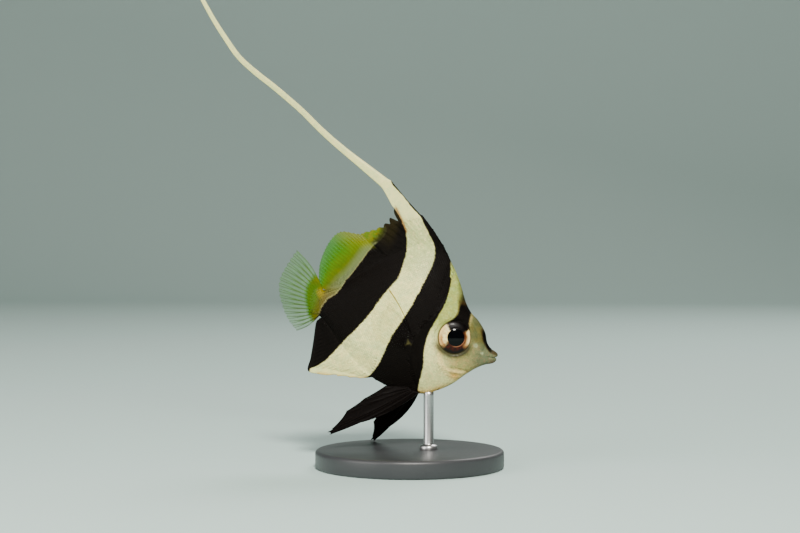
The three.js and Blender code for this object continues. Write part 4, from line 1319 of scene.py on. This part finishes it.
def pectoral_alpha(look, number, share, on_ray):
    edge = 1 - look.step(number, 0.15, 0.4)
    film = look.step(share, 0.4, 0.7) * 0.06 + 0.03
    return look.math("MAXIMUM", film + 0.3 * on_ray ** 4, edge * 0.7)


def eye_look():
    """Iris and pupil painted by direction round the eye, under a clear hard coat."""
    look = Look("eye_gloss", {
        "Coat IOR": 1.33, "Coat Roughness": 0.02, "Specular IOR Level": 0.1, "IOR": 1.4,
    })
    spot = look.attribute("eye_place")
    x, y, _ = look.split(spot)
    reach = look.distance(x, y)
    from_pupil = look.distance(x - PUPIL_SHIFT[0], y - PUPIL_SHIFT[1])
    turn = look.math("ARCTAN2", y, x) * (180 / math.pi)
    fibres = look.noise(look.node("CombineXYZ", None, {0: turn * 0.12, 1: reach * 0.5, 2: 0}), 1.6, 3)
    turn = turn + (look.noise(spot, 0.9) - 0.5) * 26

    def sector(low, high, soft=9):
        return look.between(turn, low, high, soft)

    cloud = look.noise(spot, 1.3, 3)
    lower = 1 - look.step(y, -1.8, 1.4)
    silver = look.fade(cloud, 0.4, 0.62, srgb(224, 206, 144), srgb(208, 176, 110))
    tan = look.fade(fibres, 0.35, 0.7, srgb(168, 116, 58), srgb(134, 92, 46))
    on_tan = look.step(reach + (cloud - 0.5) * 1.2, 2.9, 3.5) * (lower * 0.75 + 0.2)
    rear = look.coats(
        silver,
        (on_tan, tan),
        (look.step(reach, 3.5, 4.1) * (1 - lower * 0.6), srgb(224, 190, 122)),
        (look.window(turn, 126, 139, 139, 158) * 0.5, srgb(226, 218, 186)),
    )
    front = look.fade(fibres, 0.4, 0.7, srgb(78, 40, 16), srgb(40, 20, 9))
    front = look.fade(from_pupil + (cloud - 0.5) * 0.5, 2.6, 3.2, front, srgb(138, 92, 46))
    # The iris's own cream crescent at the front rim, painted brighter in this upper sector as a highlight.
    cream_and_highlight = look.step(reach + (cloud - 0.5) * 0.6, 3.2, 4) * sector(-8, 50, 12)
    front = look.blend(cream_and_highlight, front, srgb(232, 208, 142))
    red = look.fade(fibres, 0.35, 0.65, srgb(54, 12, 1), srgb(22, 5, 1))
    red = look.blend(look.step(reach + (cloud - 0.5), 3, 3.9) * 0.97, red, srgb(7, 4, 2))
    black = look.fade(fibres, 0.4, 0.7, srgb(3, 2, 3), srgb(12, 6, 4))
    iris = look.coats(
        rear,
        (sector(-60, 60), front),
        (sector(-127, -22, 12), red),
        (sector(46, 139, 7), black),
        (look.window(from_pupil, 2.36, 2.44, 2.5, 2.72) * sector(-80, 10, 20) * 0.45, srgb(170, 112, 76)),
        (look.step(reach, 4.12, 4.4) * (1 - sector(36, 126)) * 0.9, srgb(44, 38, 12)),
    )
    off_pupil = look.step(from_pupil, 2.3, 2.42)
    look.paint(
        Base_Color=look.blend(off_pupil, srgb(1, 2, 3), iris),
        Roughness=0.1 + off_pupil * 0.25,
        Coat_Weight=0.24 + off_pupil * (0.18 - 0.38 * sector(38, 146, 7)),
    )
    return look.material


def paint_look():
    """Satin charcoal powder coat."""
    look = Look("charcoal_paint", {"IOR": 1.5})
    where = look.node("TexCoord", output="Object")
    cloud = look.noise(where, 60, 3)
    look.paint(
        Base_Color=look.blend(cloud, srgb(44, 45, 48), srgb(56, 57, 60)),
        Roughness=0.42 + (cloud - 0.5) * 0.2,
    )
    look.raise_by(look.noise(where, 900), 0.06, 0.6)
    return look.material


def steel_look():
    """Steel brushed round the rod."""
    look = Look("brushed_steel", {"Metallic": 1})
    where = look.node("TexCoord", output="Object")
    squeezed = look.node("Mapping", None, {"Vector": where, "Scale": (1, 1, 30)})
    lines = look.noise(squeezed, 300)
    look.paint(
        Base_Color=look.blend(lines, srgb(168, 168, 170), srgb(196, 196, 196)),
        Roughness=0.24 + lines * 0.2,
    )
    look.raise_by(lines, 0.01, 0.4)
    return look.material


def floor_look():
    """Plain pale studio floor."""
    look = Look("studio_floor", {"Roughness": 0.85, "Specular IOR Level": 0.2})
    where = look.node("TexCoord", output="Object")
    look.paint(Base_Color=look.blend(look.noise(where, 1.5), srgb(176, 200, 196), srgb(184, 206, 201)))
    return look.material


# ---------------------------------------------------------------- the stand

def make_stand(paint, steel):
    """A turned base with a rounded edge, and the rod in its collar."""
    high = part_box("stand_base")[1] / MM
    radius, thick, edge = high.x, high.z, 1
    rounded = [
        (radius - edge + edge * math.sin(a), thick - edge + edge * math.cos(a))
        for a in np.linspace(0, math.pi / 2, 8)
    ]
    foot = [(radius, 0.7), (radius - 0.25, 0.2), (radius - 0.7, 0), (0, 0)]
    bm = lathe([(0, thick), (radius - 7, thick)] + rounded + foot, 128)
    bmesh.ops.scale(bm, vec=(MM, MM, MM), verts=bm.verts)
    piece("base_plate", bm, paint, replaces=["stand_base"])
    low, high = (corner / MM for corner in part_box("stand_rod"))
    middle, rod = (low + high) / 2, (high.x - low.x) / 2
    collar = rod + 1.1
    profile = [
        (0, thick - 0.5), (collar, thick - 0.5), (collar, thick + 0.9), (collar - 0.3, thick + 1.25),
        (rod + 0.12, thick + 1.4), (rod, thick + 1.7), (rod, high.z - 0.8), (rod, high.z + 0.1),
        (rod - 0.35, high.z + 0.4), (0, high.z + 0.4),
    ]
    bm = lathe(profile, 64)
    bmesh.ops.translate(bm, vec=(middle.x, middle.y, 0), verts=bm.verts)
    bmesh.ops.scale(bm, vec=(MM, MM, MM), verts=bm.verts)
    piece("rod_in_collar", bm, steel, replaces=["stand_rod"])


skin, scaled_skin = skin_look("bannerfish_skin", False), skin_look("bannerfish_scales", True)
surface = make_skin(skin)
for part in ("trunk", "head", "fin"):
    make_scales(surface, part, scaled_skin)
make_soft_dorsal(fin_look("soft_dorsal_film", soft_dorsal_colour, soft_dorsal_alpha))
make_tail_fin(fin_look("tail_film", tail_colour, tail_alpha))
eye_gloss = eye_look()
dark_fin = fin_look("dark_fin_skin", pelvic_colour, solid_alpha)
clear_fin = fin_look("clear_fin_film", pectoral_colour, pectoral_alpha)
for side in SIDES:
    make_eye(side, eye_gloss)
    make_orbit(side, skin)
    make_nostrils(side, skin)
    make_pelvic_fin(side, dark_fin)
    make_pectoral_fin(side, clear_fin)
make_stand(paint_look(), steel_look())


# ---------------------------------------------------------------- floor, light and camera

def at_pixel(px, py):
    """The place in the fish's plane that a pixel of the 800 x 533 frame shows, in metres."""
    pixel, snout_x, snout_y = 0.2747, 497, 358
    return Vector((snout_tip.x + (px - snout_x) * pixel, 0, snout_tip.z + (snout_y - py) * pixel)) * MM


def make_stage():
    """A level floor that sweeps up into a backdrop well behind the stand."""
    half_wide, front, turn_at, bend, top = 2.5, -1.6, 1, 0.5, 1.6
    reach = [(front, 0), (turn_at, 0)]
    for a in np.linspace(0, math.pi / 2, 24)[1:]:
        reach.append((turn_at + bend * math.sin(a), bend - bend * math.cos(a)))
    reach.append((turn_at + bend, top))
    places = np.array([[(x, y, z) for y, z in reach] for x in (-half_wide, half_wide)])
    floor = put_in_scene("studio_floor", smooth_mesh("studio_floor", sheet(places)))
    floor.data.materials.append(floor_look())


def make_world():
    """Even pale grey light from all round."""
    world = bpy.data.worlds.new("studio")
    world.use_nodes = True
    background = world.node_tree.nodes["Background"].inputs
    background["Color"].default_value = srgb(214, 214, 206)
    background["Strength"].default_value = 0.22
    bpy.context.scene.world = world


def aim(thing, place, target):
    """Sets a light or the camera at a place, looking at a target."""
    thing.location = place
    thing.rotation_euler = (Vector(target) - Vector(place)).to_track_quat("-Z", "Y").to_euler()


def area_light(name, place, target, size, power, colour):
    light = bpy.data.lights.new(name, "AREA")
    light.shape, light.size, light.energy, light.color = "DISK", size, power, colour
    aim(put_in_scene(name, light), place, target)


def make_camera():
    """A long lens nearly square to the fish's right side."""
    data = bpy.data.cameras.new("camera")
    data.lens, data.sensor_width = 85, 36
    data.clip_start, data.clip_end = 0.02, 20
    target = at_pixel(400, 266.5)
    azimuth, elevation, away = math.radians(4), math.radians(1.5), 0.519
    level = math.cos(elevation)
    back = Vector((math.sin(azimuth) * level, -math.cos(azimuth) * level, math.sin(elevation)))
    camera = put_in_scene("camera", data)
    aim(camera, target + back * away, target)
    bpy.context.scene.camera = camera


make_stage()
make_world()
fish_middle = at_pixel(400, 330)
area_light("key", (0.1, -0.7, 0.6), fish_middle, size=0.16, power=16, colour=(1, 0.96, 0.88))
area_light("fill", (-0.7, -0.5, 0.3), fish_middle, size=0.8, power=7, colour=(1, 0.98, 0.94))
area_light("back", (0.3, 0.6, 0.7), fish_middle, size=0.5, power=5, colour=(1, 0.98, 0.95))
make_camera()
